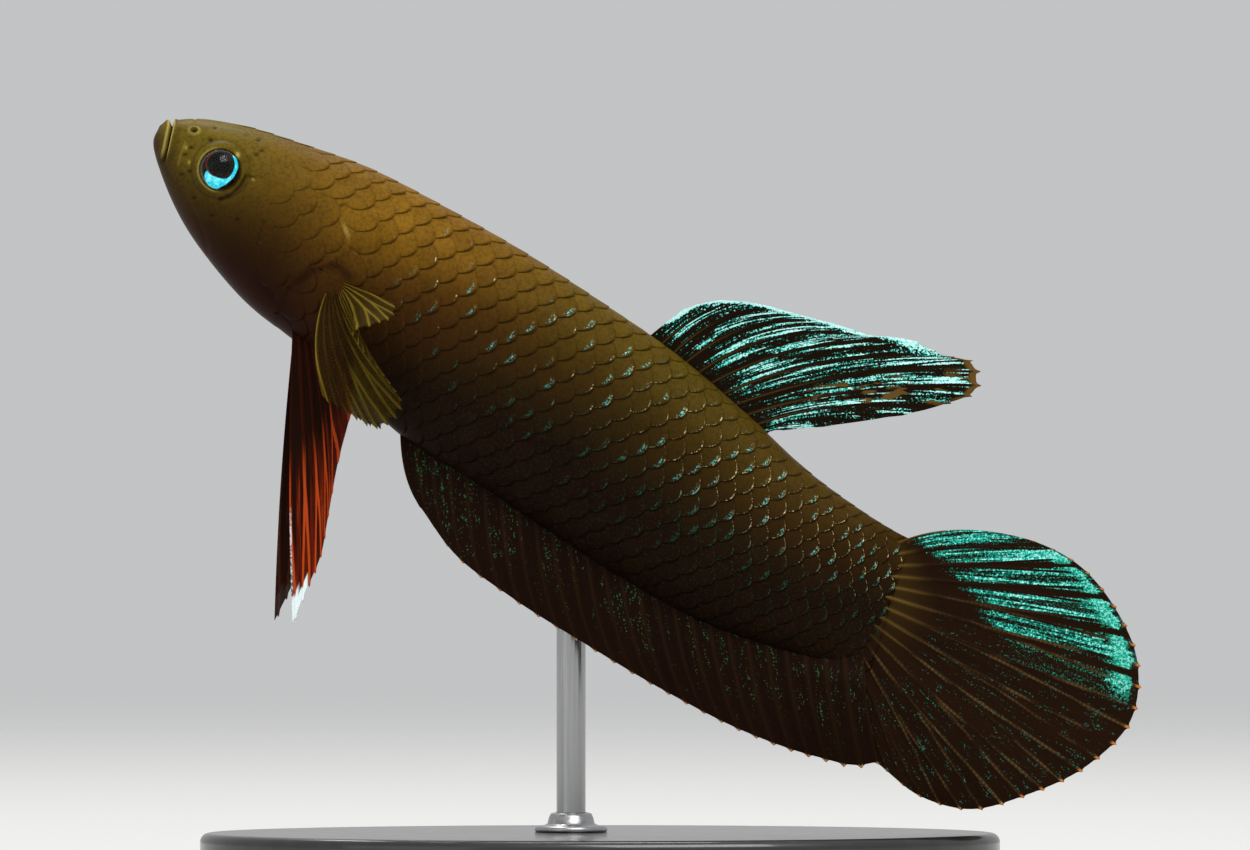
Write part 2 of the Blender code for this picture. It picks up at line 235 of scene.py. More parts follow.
def pick(sockets, key):
    """A socket by number, name or identifier."""
    if isinstance(key, int):
        return sockets[key]
    return next(s for s in sockets if key in (s.identifier, s.name))


def finish(name, fixed):
    """A new material with its constant sockets set, and a wire to start its nodes from."""
    made = bpy.data.materials.new(name)
    made.use_nodes = True
    shader = made.node_tree.nodes["Principled BSDF"]
    for key, value in fixed.items():
        shader.inputs[key].default_value = (*value, 1.0) if isinstance(value, tuple) else value
    return made, Wire(made.node_tree)


def drive(made, wires):
    """Leads wires to the sockets of a material's shader."""
    shader = made.node_tree.nodes["Principled BSDF"]
    for key, wire in wires.items():
        made.node_tree.links.new(wire.socket, shader.inputs[key])


def mesh_piece(name, points, faces, look, attributes=None):
    """A smooth mesh object from points in millimetres, with a number for each point."""
    mesh = bpy.data.meshes.new(name)
    corners = faces if isinstance(faces, list) else faces.tolist()
    mesh.from_pydata((np.asarray(points) * MM).tolist(), [], corners)
    mesh.materials.append(look)
    mesh.shade_smooth()
    for key, values in (attributes or {}).items():
        layer = mesh.attributes.new(key, "FLOAT", "POINT")
        layer.data.foreach_set("value", np.asarray(values, np.float32).ravel())
    made = bpy.data.objects.new(name, mesh)
    bpy.context.scene.collection.objects.link(made)
    return made


def quads(rows, columns, closed=False):
    """The faces of a grid of points, row by row. A closed grid joins its last column to its first."""
    r = np.arange(rows - 1)[:, None]
    c = np.arange(columns if closed else columns - 1)[None, :]
    after = (c + 1) % columns
    corners = (r * columns + c, r * columns + after, (r + 1) * columns + after, (r + 1) * columns + c)
    return np.stack([np.broadcast_to(k, (rows - 1, c.shape[1])) for k in corners], -1).reshape(-1, 4)


card, paint = finish("pale_card", {"Roughness": 0.9, "Specular IOR Level": 0.1})
from_middle = paint.node(
    "ShaderNodeVectorMath", {"operation": "LENGTH"}, {0: paint.place()}, "Value"
)
drive(
    card,
    {
        "Base Color": paint.noise(paint.place(), 6.0, 3.0).mix(
            tuple(0.985 * v for v in CARD_WHITE), CARD_WHITE
        ),
        "Alpha": 1 - from_middle.smooth(FLOOR_FADE[0] * MM, FLOOR_FADE[1] * MM),
        "Normal": paint.bump(paint.noise(paint.place(), 2500.0, 3.0), 0.02),
    },
)
floor_turn = np.linspace(0.0, math.tau, FLOOR_SIDES, endpoint=False)
floor_rings = np.linspace(0.5, FLOOR_RADIUS, FLOOR_RINGS)[:, None]
floor_x, floor_y = floor_rings * np.cos(floor_turn), floor_rings * np.sin(floor_turn)
floor_points = np.stack([floor_x, floor_y, np.zeros_like(floor_x)], axis=-1).reshape(-1, 3)
floor = mesh_piece("pale_floor", floor_points, quads(FLOOR_RINGS, FLOOR_SIDES, closed=True), card)


# ---------------------------------------------------------------------------- skin
# One skin from lips to tail root, cast and painted: olive brown above and wine black below.
# It carries the lips, nostrils, eye rims, pores and gill covers, and the scales lie on it.
BODY = (  # back x, z, belly x, z, half width
    (-23.82, 43.20, -24.28, 42.88, 0.50),
    (-23.35, 43.24, -24.62, 41.95, 1.10),
    (-22.60, 43.32, -24.28, 40.50, 1.60),
    (-21.50, 43.28, -23.45, 38.45, 2.20),
    (-19.80, 42.98, -22.35, 36.55, 2.78),
    (-17.60, 42.40, -20.60, 34.30, 3.22),
    (-15.40, 41.70, -18.95, 32.62, 3.46),
    (-12.40, 40.58, -16.55, 30.70, 3.55),
    (-8.25, 38.42, -13.40, 27.90, 3.48),
    (-4.10, 36.05, -10.65, 25.45, 3.34),
    (0.00, 33.40, -7.00, 23.20, 3.12),
    (4.20, 30.50, -2.95, 20.50, 2.84),
    (8.25, 27.05, 1.55, 17.65, 2.46),
    (11.70, 23.85, 6.00, 15.30, 2.02),
    (14.80, 21.60, 10.80, 13.70, 1.38),
    (17.15, 20.20, 14.85, 12.85, 0.55),
)
TAIL_ROOT = len(BODY) - 1.0
LIFT = 0.16  # how far above mid depth the body is widest, as a share of half the depth
BACK_FULLNESS = 0.86  # powers of the outline: under 1 is fuller than an ellipse
BELLY_FULLNESS = 1.06
TAIL_TAPER_FROM = 14.1  # the skin thins from here to run out on the tail fin
TAIL_END_WIDTH = 0.32  # share of the width that is left at its end
COAT = 0.14  # how far the skin lies inside the scales' outer surface
HEAD_COAT = 0.05
COAT_GROWS = (-19.5, -16.0)  # x between which it goes from the head's depth to the body's
COVER_STEP = (0.05, 0.13)  # the gill cover's height over the shoulder, above and below
COVER_STEP_TURN = (37.2, 35.4)  # heights between which it goes from one to the other
COVER_STEP_TOP = (39.5, 38.7)  # heights between which it starts, and ends
COVER_STEP_FOOT = (31.2, 33.2)
SHOULDER_RISE = (-2.8, -0.4)  # distances behind the edge over which the shoulder comes up again
GILL_EDGE = (  # the rear edge of the gill cover, from its top corner to the throat
    (-13.40, 39.40),
    (-13.40, 38.60),
    (-13.45, 37.00),
    (-13.95, 35.80),
    (-14.75, 35.15),
    (-15.90, 34.80),
    (-16.95, 34.15),
    (-17.60, 33.10),
    (-17.95, 31.90),
    (-18.30, 29.50),
)
COVER_FRONT = (  # the groove between cheek and gill cover
    (-15.40, 39.60),
    (-17.15, 39.15),
    (-18.30, 37.90),
    (-18.75, 36.20),
    (-18.55, 34.60),
    (-17.60, 32.90),
)
MOUTH_LINE = ((-23.55, 44.00), (-23.56, 42.90), (-23.84, 41.60), (-24.05, 40.85))
JAW_REAR = ((-24.05, 40.85), (-23.30, 39.70), (-22.45, 38.40), (-21.80, 37.00), (-21.50, 35.60))
LIP_NOTCH = ((-22.26, 44.00), (-22.28, 42.95))  # where the upper lip slides under the snout
BEHIND_EYE = ((-19.20, 40.08), (-18.55, 39.90), (-17.85, 39.50), (-17.10, 39.22), (-15.30, 39.05))
BEFORE_EYE = ((-22.75, 41.95), (-23.03, 41.25), (-23.15, 40.70))
LID_CREASE = ((-19.40, 40.10), (-19.75, 39.52), (-20.22, 39.06), (-20.85, 38.82))
HEAD_FOLDS = (  # a fold's line, how far it stands out, and its half width
    (JAW_REAR, -0.02, 0.12),
    (LIP_NOTCH, -0.05, 0.08),
    (BEHIND_EYE, -0.045, 0.10),
    (BEFORE_EYE, 0.018, 0.10),
)
MOUTH_CORNER = (40.7, 41.2)  # heights between which the mouth's slit opens
LIP_FADE = (40.6, 41.5)  # heights between which the lips swell
EYE_AT = (-20.82, 2.05, 40.43)
EYE_RADIUS = 1.30
EYE_DEPTH = 1.05
EYE_RIM = 1.20  # where the skin meets the eyeball
EYE_RIM_RISE = 0.50  # how far out it stands there from the ball's middle
ORBIT_AT = (-20.79, 40.42)
ORBIT_RADIUS = 1.62  # of the ring of soft skin round the eye
NOSTRIL_FRONT = (-22.27, 42.60)
NOSTRIL_REAR = (-21.39, 42.10)
NOSTRIL_RIM = 0.24  # its radius
PORES = (  # the openings of the canals that run under a fish's skin
    (-21.12, 42.76),
    (-22.44, 41.67),
    (-22.77, 41.28),
    (-22.55, 40.35),
    (-22.99, 40.18),
    (-18.54, 41.50),
    (-18.81, 41.28),
    (-18.70, 42.10),
    (-15.46, 40.68),
    (-18.80, 40.02),
    (-17.88, 39.52),
    (-17.16, 39.28),
    (-15.07, 39.14),
    (-14.14, 38.48),
    (-22.30, 38.90),
    (-21.30, 37.90),
    (-19.90, 37.70),
)
PALE_SPOTS_AND_HIGHLIGHT = (  # x, z, size and strength of small pale patches of skin
    # the first is a painted highlight on the eye's rim, the rest are pale patches of skin
    (-19.86, 41.24, 0.16, 0.75),
    (-22.72, 41.66, 0.10, 0.35),
    (-22.55, 40.84, 0.10, 0.35),
    (-18.98, 39.90, 0.10, 0.30),
)
PALE_MARK = (-13.9, 37.1)  # a longer one behind the gill cover
COVER_NOTCH = -15.0  # where the gill cover's edge turns in over the pectoral fin
SKIN_RINGS = ((0.0, 3.4, 130), (3.4, 7.2, 100), (7.2, TAIL_ROOT, 100))  # from, to, how many
RING_POINTS = 300
WARM_SHEEN = (1.0, 0.66, 0.40)


def rgb(red, green, blue):
    """A colour from display values of 0 to 255."""
    return tuple(
        v / 255 / 12.92 if v < 10.4 else ((v / 255 + 0.055) / 1.055) ** 2.4
        for v in (red, green, blue)
    )


def through(points, at, places):
    """A cubic Hermite curve that passes points at the values at, read at places."""
    slope = np.gradient(points, at, axis=0)
    left = np.clip(np.searchsorted(at, places, side="right") - 1, 0, len(at) - 2)
    step = (at[left + 1] - at[left])[:, None]
    u = (places[:, None] - at[left][:, None]) / step
    return (
        (2 * u**3 - 3 * u**2 + 1) * points[left]
        + (u**3 - 2 * u**2 + u) * step * slope[left]
        + (3 * u**2 - 2 * u**3) * points[left + 1]
        + (u**3 - u**2) * step * slope[left + 1]
    )


def smoothstep(start, end, value):
    """0 before start, 1 after end, and an even turn between them."""
    t = np.clip((value - start) / (end - start), 0.0, 1.0)
    return t * t * (3 - 2 * t)


def body_height(turns):
    """How high a point of the outline is, from 1 on the back to -1 on the belly."""
    up = np.cos(turns)
    return up + LIFT * (1 - up * up)


def body_points(places, turns):
    """Points of the body's outline. A place counts stations, and a turn starts at the back."""
    places, turns = np.broadcast_arrays(places, turns)
    rows = np.array(BODY)
    read = through(rows, np.arange(len(rows), dtype=float), places.ravel())
    bx, bz, lx, lz, wide = [column.reshape(places.shape) for column in read.T]
    wide = wide * (1 - (1 - TAIL_END_WIDTH) * smoothstep(TAIL_TAPER_FROM, TAIL_ROOT, places))
    out = np.sin(turns)
    power = np.where(np.cos(turns) > 0, BACK_FULLNESS, BELLY_FULLNESS)
    height = body_height(turns)
    x = (bx + lx) / 2 + (bx - lx) / 2 * height
    z = (bz + lz) / 2 + (bz - lz) / 2 * height
    return np.stack([x, np.sign(out) * np.abs(out) ** power * wide, z], axis=-1)


def body_outwards(places, turns):
    """Unit directions that face out of the body."""
    step = 0.004
    along = body_points(places + step, turns) - body_points(places - step, turns)
    around = body_points(places, turns + step) - body_points(places, turns - step)
    facing = np.cross(along, around)
    return facing / np.linalg.norm(facing, axis=-1)[..., None]


def near_line(x, z, line):
    """How far points are from a line of x, z points. It is negative to the line's left."""
    line = np.asarray(line, float)
    best = np.full(x.shape, 1e9)
    signed = np.zeros(x.shape)
    for (ax, az), (bx, bz) in zip(line[:-1], line[1:]):
        dx, dz = bx - ax, bz - az
        t = np.clip(((x - ax) * dx + (z - az) * dz) / (dx * dx + dz * dz), 0.0, 1.0)
        ex, ez = x - ax - t * dx, z - az - t * dz
        away = np.hypot(ex, ez)
        closer = away < best
        best = np.where(closer, away, best)
        signed = np.where(closer, np.where(dx * ez - dz * ex > 0, -away, away), signed)
    return signed


def read_line(points, shares):
    """Points at shares of the length of a smooth curve through the given ones."""
    points = np.asarray(points, float)
    at = np.concatenate([[0.0], np.cumsum(np.linalg.norm(np.diff(points, axis=0), axis=1))])
    return through(points, at, np.asarray(shares, float) * at[-1])


def swell(distance, width):
    """1 at no distance, and soon 0 beyond the width."""
    return np.exp(-((distance / width) ** 2))


def from_hole(x, z, hole):
    """How far points are from the middle of a pore or nostril, which is wider than high."""
    return np.hypot(x - hole[0], 1.4 * (z - hole[1]))


gill_curve = read_line(GILL_EDGE, np.linspace(0, 1, 40))
cover_curve = read_line(COVER_FRONT, np.linspace(0, 1, 30))


def head_relief(x, z):
    """Height of the head's folds over the plain outline, by place in the side view."""
    mouth = near_line(x, z, MOUTH_LINE)
    lips = smoothstep(*LIP_FADE, z)
    height = lips * (0.07 * swell(mouth + 0.22, 0.12) + 0.07 * swell(mouth - 0.24, 0.14))
    height -= smoothstep(*MOUTH_CORNER, z) * 0.34 * swell(mouth, 0.085)
    for line, rise, width in HEAD_FOLDS:
        height += rise * swell(near_line(x, z, line), width)
    ring = from_hole(x, z, NOSTRIL_FRONT)
    height += 0.12 * swell(ring - NOSTRIL_RIM, 0.08) - 0.14 * swell(ring, 0.13)
    height -= 0.09 * swell(np.hypot(x - NOSTRIL_REAR[0], z - NOSTRIL_REAR[1]), 0.14)
    for pore in PORES:
        height -= 0.05 * swell(from_hole(x, z, pore), 0.12)
    return height


def shoulder_drop(x, z):
    """How far the shoulder lies under the gill cover, from its rear edge backwards."""
    edge = near_line(x, z, gill_curve)
    depth = COVER_STEP[0] + (COVER_STEP[1] - COVER_STEP[0]) * smoothstep(*COVER_STEP_TURN, z)
    behind = smoothstep(-0.06, -0.16, edge) * smoothstep(*SHOULDER_RISE, edge)
    return depth * behind * smoothstep(*COVER_STEP_TOP, z) * smoothstep(*COVER_STEP_FOOT, z)


def round_eye(points):
    """Draws the skin up to the eyeball in a soft ring, and hollows it behind the ball."""
    x, y, z = points[..., 0], points[..., 1], points[..., 2]
    out = np.hypot(x - EYE_AT[0], z - EYE_AT[2])
    orbit = np.hypot(x - ORBIT_AT[0], z - ORBIT_AT[1])
    beyond = np.clip(out - EYE_RIM, 0.0, None)
    within = np.clip(ORBIT_RADIUS + 0.10 - orbit, 0.0, None)
    hold = 1 - smoothstep(0.0, 1.0, beyond / (beyond + within + 1e-6))
    rim = EYE_AT[1] + EYE_RIM_RISE + 0.03 * swell(out - EYE_RIM - 0.03, 0.10)
    rim = rim - 1.3 * smoothstep(EYE_RIM - 0.08, EYE_RIM - 0.40, out)
    away = np.abs(y) * (1 - hold) + rim * hold
    crease = 0.05 * swell(orbit - ORBIT_RADIUS, 0.07) + 0.07 * swell(near_line(x, z, LID_CREASE), 0.11)
    near = (np.abs(y) > 0.8) & (orbit < ORBIT_RADIUS + 0.5)
    shaped = points.copy()
    shaped[..., 1] = np.where(near, np.sign(y) * (away - crease), y)
    return shaped


def coat_depth(x):
    """How far the skin lies inside the body's outline."""
    return HEAD_COAT + (COAT - HEAD_COAT) * smoothstep(*COAT_GROWS, x)


places = np.concatenate(
    [np.linspace(start, end, rings, endpoint=end == TAIL_ROOT) for start, end, rings in SKIN_RINGS]
)
turns = np.linspace(0.0, math.tau, RING_POINTS, endpoint=False)
place_grid, turn_grid = np.meshgrid(places, turns, indexing="ij")
outline = body_points(place_grid, turn_grid)
facing = body_outwards(place_grid, turn_grid)
gx, gz = outline[..., 0], outline[..., 2]
gill = near_line(gx, gz, gill_curve)
relief = head_relief(gx, gz) - shoulder_drop(gx, gz) - coat_depth(gx)
relief = relief - 0.04 * swell(near_line(gx, gz, cover_curve), 0.13)
relief = relief - 0.07 * smoothstep(36.4, 35.2, gz) * swell(gill + 0.12, 0.14)
skin_points = round_eye(outline + facing * relief[..., None])

middle = body_points(places, math.pi / 2) * (1, 0, 1)
mid_length = np.concatenate([[0], np.cumsum(np.linalg.norm(np.diff(middle, axis=0), axis=1))])


def along_body(where):
    """The share of the body's length, from 0 at the lips to 1 at the tail root."""
    return np.interp(where, places, mid_length / mid_length[-1])


def down_body(turn):
    """The share of the body's depth, from 0 on the back to 1 on the belly."""
    return (1 - body_height(turn)) / 2


def markings(paint):
    """The fish's own colours, for the skin and for the scales that lie on it."""
    along, down = paint.attributes("along", "down")
    mottle = paint.noise(paint.place(), 700.0, 5.0, 0.6)
    back = along.ramp(
        (0.0, rgb(112, 92, 28)),
        (0.08, rgb(108, 92, 25)),
        (0.14, rgb(110, 86, 23)),
        (0.20, rgb(126, 92, 23)),
        (0.28, rgb(142, 102, 22)),
        (0.38, rgb(134, 94, 20)),
        (0.50, rgb(112, 86, 19)),
        (0.64, rgb(102, 84, 19)),
        (0.82, rgb(90, 69, 19)),
        (1.0, rgb(80, 58, 16)),
    )
    belly = along.ramp(
        (0.0, rgb(46, 28, 11)),
        (0.10, rgb(30, 11, 5)),
        (0.20, rgb(27, 7, 5)),
        (0.25, rgb(34, 7, 5)),
        (0.36, rgb(18, 7, 5)),
        (0.6, rgb(14, 5, 4)),
        (1.0, rgb(19, 9, 5)),
    )
    border = along.levels(
        (0.0, 0.80),
        (0.06, 0.70),
        (0.13, 0.50),
        (0.18, 0.44),
        (0.24, 0.52),
        (0.34, 0.45),
        (0.44, 0.32),
        (0.60, 0.25),
        (0.80, 0.26),
        (1.0, 0.12),
    )
    paleness = (down - border + 0.12 * mottle + 0.44).levels(
        (0.0, 1.0), (0.20, 0.93), (0.35, 0.70), (0.48, 0.44), (0.60, 0.22), (0.74, 0.08), (0.92, 0.0)
    )
    speck = paint.noise(paint.place(), 5200.0, 2.0, 0.6).smooth(0.38, 0.70)
    plain = paleness.mix(belly, back)
    russet = paleness.smooth(0.02, 0.22) * (1 - paleness.smooth(0.35, 0.80))
    russet = russet * (0.2 + 0.8 * along.smooth(0.18, 0.30)) * (1 - 0.8 * along.smooth(0.36, 0.60))
    plain = (0.42 * russet).mix(plain, rgb(54, 18, 8))
    return (0.30 * speck + 0.22 * (1 - mottle.smooth(0.3, 0.62))).mix(plain, rgb(30, 16, 7))


skin_look, paint = finish(
    "betta_skin", {"Specular IOR Level": 0.06, "Specular Tint": WARM_SHEEN}
)
hide = markings(paint)
# pale paint of lips, rims and spots, with one painted highlight on the eye's rim
hide = paint.attribute("lip").mix(hide, rgb(224, 204, 108))
# painted shade in the skin's slits, creases, pores and nostrils
hide = paint.attribute("shade").mix(hide, rgb(14, 6, 4))
hide = paint.attribute("wine").mix(hide, rgb(50, 12, 8))
grain = paint.noise(paint.place(), 6500.0, 3.0, 0.6)
drive(
    skin_look,
    {
        "Base Color": hide,
        "Roughness": 0.34 + 0.20 * grain,
        "Normal": paint.bump(grain, 0.02),
    },
)
mouth = near_line(gx, gz, MOUTH_LINE)
orbit = np.hypot(gx - ORBIT_AT[0], gz - ORBIT_AT[1])
from_eye = np.hypot(gx - EYE_AT[0], gz - EYE_AT[2])

# The attribute "lip" is the pale paint of the lips, the nostril's and the eye's rims, and spots;
# one spot, on the eye's rim, is a painted highlight.
pale = smoothstep(40.9, 41.6, gz) * (swell(mouth + 0.15, 0.055) + 0.5 * swell(mouth - 0.14, 0.05))
pale = 0.9 * pale + 0.28 * swell(from_hole(gx, gz, NOSTRIL_FRONT) - NOSTRIL_RIM - 0.06, 0.07)
pale = pale + 0.10 * swell(near_line(gx, gz, BEFORE_EYE), 0.06)
pale = pale + 0.3 * smoothstep(-20.6, -21.6, gx) * swell(from_eye - EYE_RIM - 0.03, 0.05)
for spot_x, spot_z, size, strength in PALE_SPOTS_AND_HIGHLIGHT:
    pale = pale + strength * swell(np.hypot(1.5 * (gx - spot_x), gz - spot_z), size)
mark_x, mark_z = gx - PALE_MARK[0], gz - PALE_MARK[1]
pale = pale + 0.30 * swell(1.6 * mark_x + 0.6 * mark_z, 0.16) * swell(mark_z, 0.42)

# The attribute "shade" is painted shade: the dark in its slits, creases, pores and nostrils,
# round the eye, along the gill cover's edge and in the hollow over the pectoral fin.
shade = smoothstep(*MOUTH_CORNER, gz) * (swell(mouth, 0.08) + 0.3 * swell(mouth + 0.42, 0.20))
shade = shade + 0.35 * swell(orbit - ORBIT_RADIUS, 0.06) * smoothstep(0.8, 1.4, from_eye)
shade = shade + 0.85 * swell(near_line(gx, gz, LID_CREASE), 0.10)
shade = shade + 0.8 * smoothstep(EYE_RIM + 0.04, EYE_RIM - 0.08, from_eye)
shade = shade + 0.6 * swell(near_line(gx, gz, BEHIND_EYE), 0.06)
shade = shade + 0.7 * smoothstep(36.6, 35.4, gz) * smoothstep(31.5, 33.5, gz) * swell(gill + 0.12, 0.13)
shade = shade + 0.25 * smoothstep(39.2, 38.2, gz) * swell(gill + 0.08, 0.08)
for pore in PORES:
    shade = shade + 0.85 * swell(from_hole(gx, gz, pore), 0.12)
for nostril in (NOSTRIL_FRONT, NOSTRIL_REAR):
    shade = shade + 0.9 * swell(from_hole(gx, gz, nostril), 0.14)
from_notch = gx - COVER_NOTCH
shade = shade + 0.8 * swell(gill + 0.22, 0.30) * swell(from_notch, 0.8) * smoothstep(36.0, 35.2, gz)

# The attribute "wine" is the wine red of the throat and under the gill cover.
wine = 0.8 * swell(gill + 0.35, 0.5) * swell(from_notch, 1.2) * smoothstep(36.0, 35.0, gz)
wine = wine + 0.6 * swell(gx + 16.2, 1.5) * swell(gz - 32.6, 1.8)
throat = smoothstep(0.80, 1.0, down_body(turn_grid)) * smoothstep(-16.5, -19.5, gx)
wine = wine + 0.35 * throat * smoothstep(40.5, 38.0, gz)

rows, ring = place_grid.shape
skin_faces = quads(rows, ring, closed=True).tolist()
skin_faces += [list(range(ring - 1, -1, -1)), [(rows - 1) * ring + k for k in range(ring)]]
skin = mesh_piece(
    "skin",
    skin_points.reshape(-1, 3),
    skin_faces,
    skin_look,
    {
        "along": along_body(place_grid),
        "down": down_body(turn_grid),
        "lip": np.clip(pale, 0, 1),
        "shade": np.clip(shade, 0, 1),
        "wine": np.clip(wine, 0, 1),
    },
)
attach(skin, "root")
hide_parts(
    "lower_jaw", "head", "gill_cover_left", "gill_cover_right", "trunk", "tail_stem"
)


# ---------------------------------------------------------------------------- eyes
# Each eye is a glass-clear cornea over a dark iris and a black lens. A cyan crescent shines in
# the iris, from above the pupil's rear round to its widest below and in front, and a thin red
# line edges the pupil in front. The crescent also glows a little by emission, as painted light.
PUPIL = 0.66  # radii
IRIS = 1.13
PUPIL_OFF = (-0.06, 0.30)  # the fish looks up and ahead, so the pupil lies off the middle
LENS_BULGE = 0.10
IRIS_RECESS = 0.16
EYE_SIDES = 96
EYE_FRONT_RINGS = 56
EYE_BACK_RINGS = 14
CORNEA_RINGS = 30
CORNEA_THICK = 0.03
CRESCENT = (  # share of the way round, then its inner and outer edges from the pupil's middle
    (0.0, 0.84, 0.86),
    (0.06, 0.84, 0.96),
    (0.20, 0.85, 1.03),
    (0.38, 0.87, 1.06),
    (0.52, 0.88, 1.12),
    (0.64, 0.76, 1.24),
    (0.73, 0.70, 1.42),
    (0.82, 0.70, 1.28),
    (0.92, 0.70, 1.08),
    (0.97, 0.70, 0.90),
    (1.0, 0.70, 0.72),
)
CRESCENT_FROM = 0.66  # radians over the tail-ward direction
CRESCENT_TURN = 3.32


def ball(radii, grow=0.0):
    """How far the ball stands out of its own mid plane, at radii from its axis."""
    return (EYE_DEPTH + grow) * np.sqrt(np.clip(1 - (radii / (EYE_RADIUS + grow)) ** 2, 0, 1))


def dish(name, radii, side, look, height, moved=0.0):
    """A round piece about the eye's own axis: height gives how far it stands out, by point."""
    turn = np.linspace(0.0, math.tau, EYE_SIDES, endpoint=False)
    radii = np.asarray(radii)[:, None]
    number = np.arange(len(radii))[:, None]
    shift = moved * smoothstep(EYE_RADIUS, PUPIL, radii)
    x = radii * np.cos(turn) + PUPIL_OFF[0] * shift
    z = radii * np.sin(turn) + PUPIL_OFF[1] * shift
    y = side * (EYE_AT[1] + height(np.hypot(x, z), radii, number))
    points = np.stack([EYE_AT[0] + x, y, EYE_AT[2] + z], axis=-1).reshape(-1, 3)
    faces = quads(len(radii), EYE_SIDES, closed=True)
    piece = mesh_piece(
        name,
        points,
        faces if side > 0 else faces[:, ::-1],
        look,
        {"eye_x": x - PUPIL_OFF[0], "eye_z": z - PUPIL_OFF[1], "eye_r": np.hypot(x, z)},
    )
    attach(piece, "root")
    return piece


eye_look, paint = finish("betta_eye", {"Specular IOR Level": 0.10, "Emission Strength": 0.45})
ex, ez = paint.attributes("eye_x", "eye_z")
far = (ex * ex + ez * ez) ** 0.5
fleck = paint.noise(paint.place(), 4200.0, 4.0, 0.65)
share = (CRESCENT_FROM - paint.math("ARCTAN2", ez, ex)) / CRESCENT_TURN
inner_edge = 2.0 * share.levels(*[(at, inner / 2) for at, inner, _ in CRESCENT])
outer_edge = 2.0 * share.levels(*[(at, outer / 2) for at, _, outer in CRESCENT])
crescent = 1 - (far + 0.16 * fleck - 0.08).smooth(outer_edge - 0.02, outer_edge + 0.03)
crescent = crescent * (far - 0.10 * fleck + 0.05).smooth(inner_edge, inner_edge + 0.05)
crescent = crescent * share.smooth(-0.01, 0.04) * (1 - share.smooth(0.97, 1.0))
iris = fleck.smooth(0.3, 0.7).mix(rgb(10, 9, 5), rgb(34, 26, 11))
inner = far.smooth(PUPIL - 0.05, PUPIL) * (1 - far.smooth(PUPIL + 0.03, PUPIL + 0.10))
front_half = 1 - ex.smooth(-0.45, 0.10)
iris = (0.6 * inner * front_half).mix(iris, rgb(122, 46, 26))
cyan = fleck.smooth(0.42, 0.66).mix(rgb(2, 176, 206), rgb(150, 252, 254))
colour = crescent.mix(iris, cyan)
colour = (1 - far.smooth(PUPIL - 0.04, PUPIL)).mix(colour, rgb(7, 12, 5))
edge_of_eye = paint.attribute("eye_r").smooth(IRIS - 0.03, IRIS + 0.03)
colour = edge_of_eye.mix(colour, rgb(12, 8, 5))
# the crescent also glows by emission: painted light
painted_glow = crescent * (1 - edge_of_eye)
drive(
    eye_look,
    {
        "Base Color": colour,
        "Roughness": 0.18 + 0.25 * far.smooth(PUPIL - 0.03, PUPIL + 0.03),
        "Emission Color": painted_glow.mix((0.0, 0.0, 0.0), rgb(0, 196, 220)),
        "Normal": paint.bump(fleck * far.smooth(PUPIL, PUPIL + 0.06), 0.03),
    },
)

cornea_look = bpy.data.materials.new("cornea")
cornea_look.use_nodes = True
paint = Wire(cornea_look.node_tree)
cornea_look.node_tree.nodes.remove(cornea_look.node_tree.nodes["Principled BSDF"])
sheen = 0.16 * paint.node("ShaderNodeFresnel", None, {"IOR": 1.38})
clear = paint.node("ShaderNodeBsdfTransparent")
gloss = paint.node("ShaderNodeBsdfAnisotropic", None, {"Roughness": 0.10})
film = paint.node("ShaderNodeMixShader", None, {0: sheen, 1: clear, 2: gloss})
cornea_look.node_tree.links.new(
    film.socket, cornea_look.node_tree.nodes["Material Output"].inputs["Surface"]
)


def eye_height(away, radii, number):
    """The iris lies in a recess of the ball, the lens bulges in it, and the back is plain."""
    recess = IRIS_RECESS * smoothstep(IRIS + 0.08, IRIS - 0.10, away)
    lens = LENS_BULGE * np.sqrt(np.clip(1 - (radii / PUPIL) ** 2, 0, 1))
    return np.where(number < EYE_FRONT_RINGS, ball(away, -0.01) - recess + lens, -ball(away))


def cornea_height(away, radii, number):
    """The cornea is a thin cap on the ball, drawn from its middle out and back inside."""
    return ball(away) - np.where(number < CORNEA_RINGS, 0.0, CORNEA_THICK)


for side_name, side in (("left", -1), ("right", 1)):
    front = np.linspace(0.001, EYE_RADIUS, EYE_FRONT_RINGS)
    back = np.linspace(EYE_RADIUS, 0.001, EYE_BACK_RINGS)[1:]
    ball_radii = np.concatenate([front, back])
    eyeball = dish("eye_" + side_name + "_ball", ball_radii, side, eye_look, eye_height, 1.0)
    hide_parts("eye_" + side_name)
    dome = np.linspace(0.001, EYE_RIM + 0.04, CORNEA_RINGS)
    dome_radii = np.concatenate([dome, dome[::-1]])
    dish("eye_" + side_name + "_cornea", dome_radii, side, cornea_look, cornea_height)


# ---------------------------------------------------------------------------- scales
# Thin rounded plates in rows from the gill covers to the tail root, each over the roots of the
# two behind it. Their lower rims are darkened, partly by their own pigment and partly by
# painted shade, and from mid body on they carry short shining bars.
SCALE_PITCH = 1.27  # along a row, where the body is deepest
ROW_SPACING = 1.03  # from row to row there
PITCH_TAPER = 0.42  # powers of the body's girth that both shrink by
ROW_TAPER = 0.62
MID_ROW = 0.46  # where the row along the mid side lies, as a share of the way round
SCALE_REACH = 1.75  # a scale's length, in pitches
SCALE_THICK = 0.03
RIM_ROUND = 0.42  # how much shorter a scale is at its sides
ROOT_SINK = 0.03
LOWER_TILT = 0.35  # how much more a scale stands out at its lower side
SCALE_GRID = (10, 11)  # points along and across a scale
UV_TUFT = 0.003  # each scale's patch on the coat's map
FLANK_RISE = 0.095  # how far a scale's tip stands over the coat's depth
HEAD_RISE = 0.02
SPINE_RISE = 0.10
HEAD_SIZE = 1.18  # the cheek's scales, against those of the flank
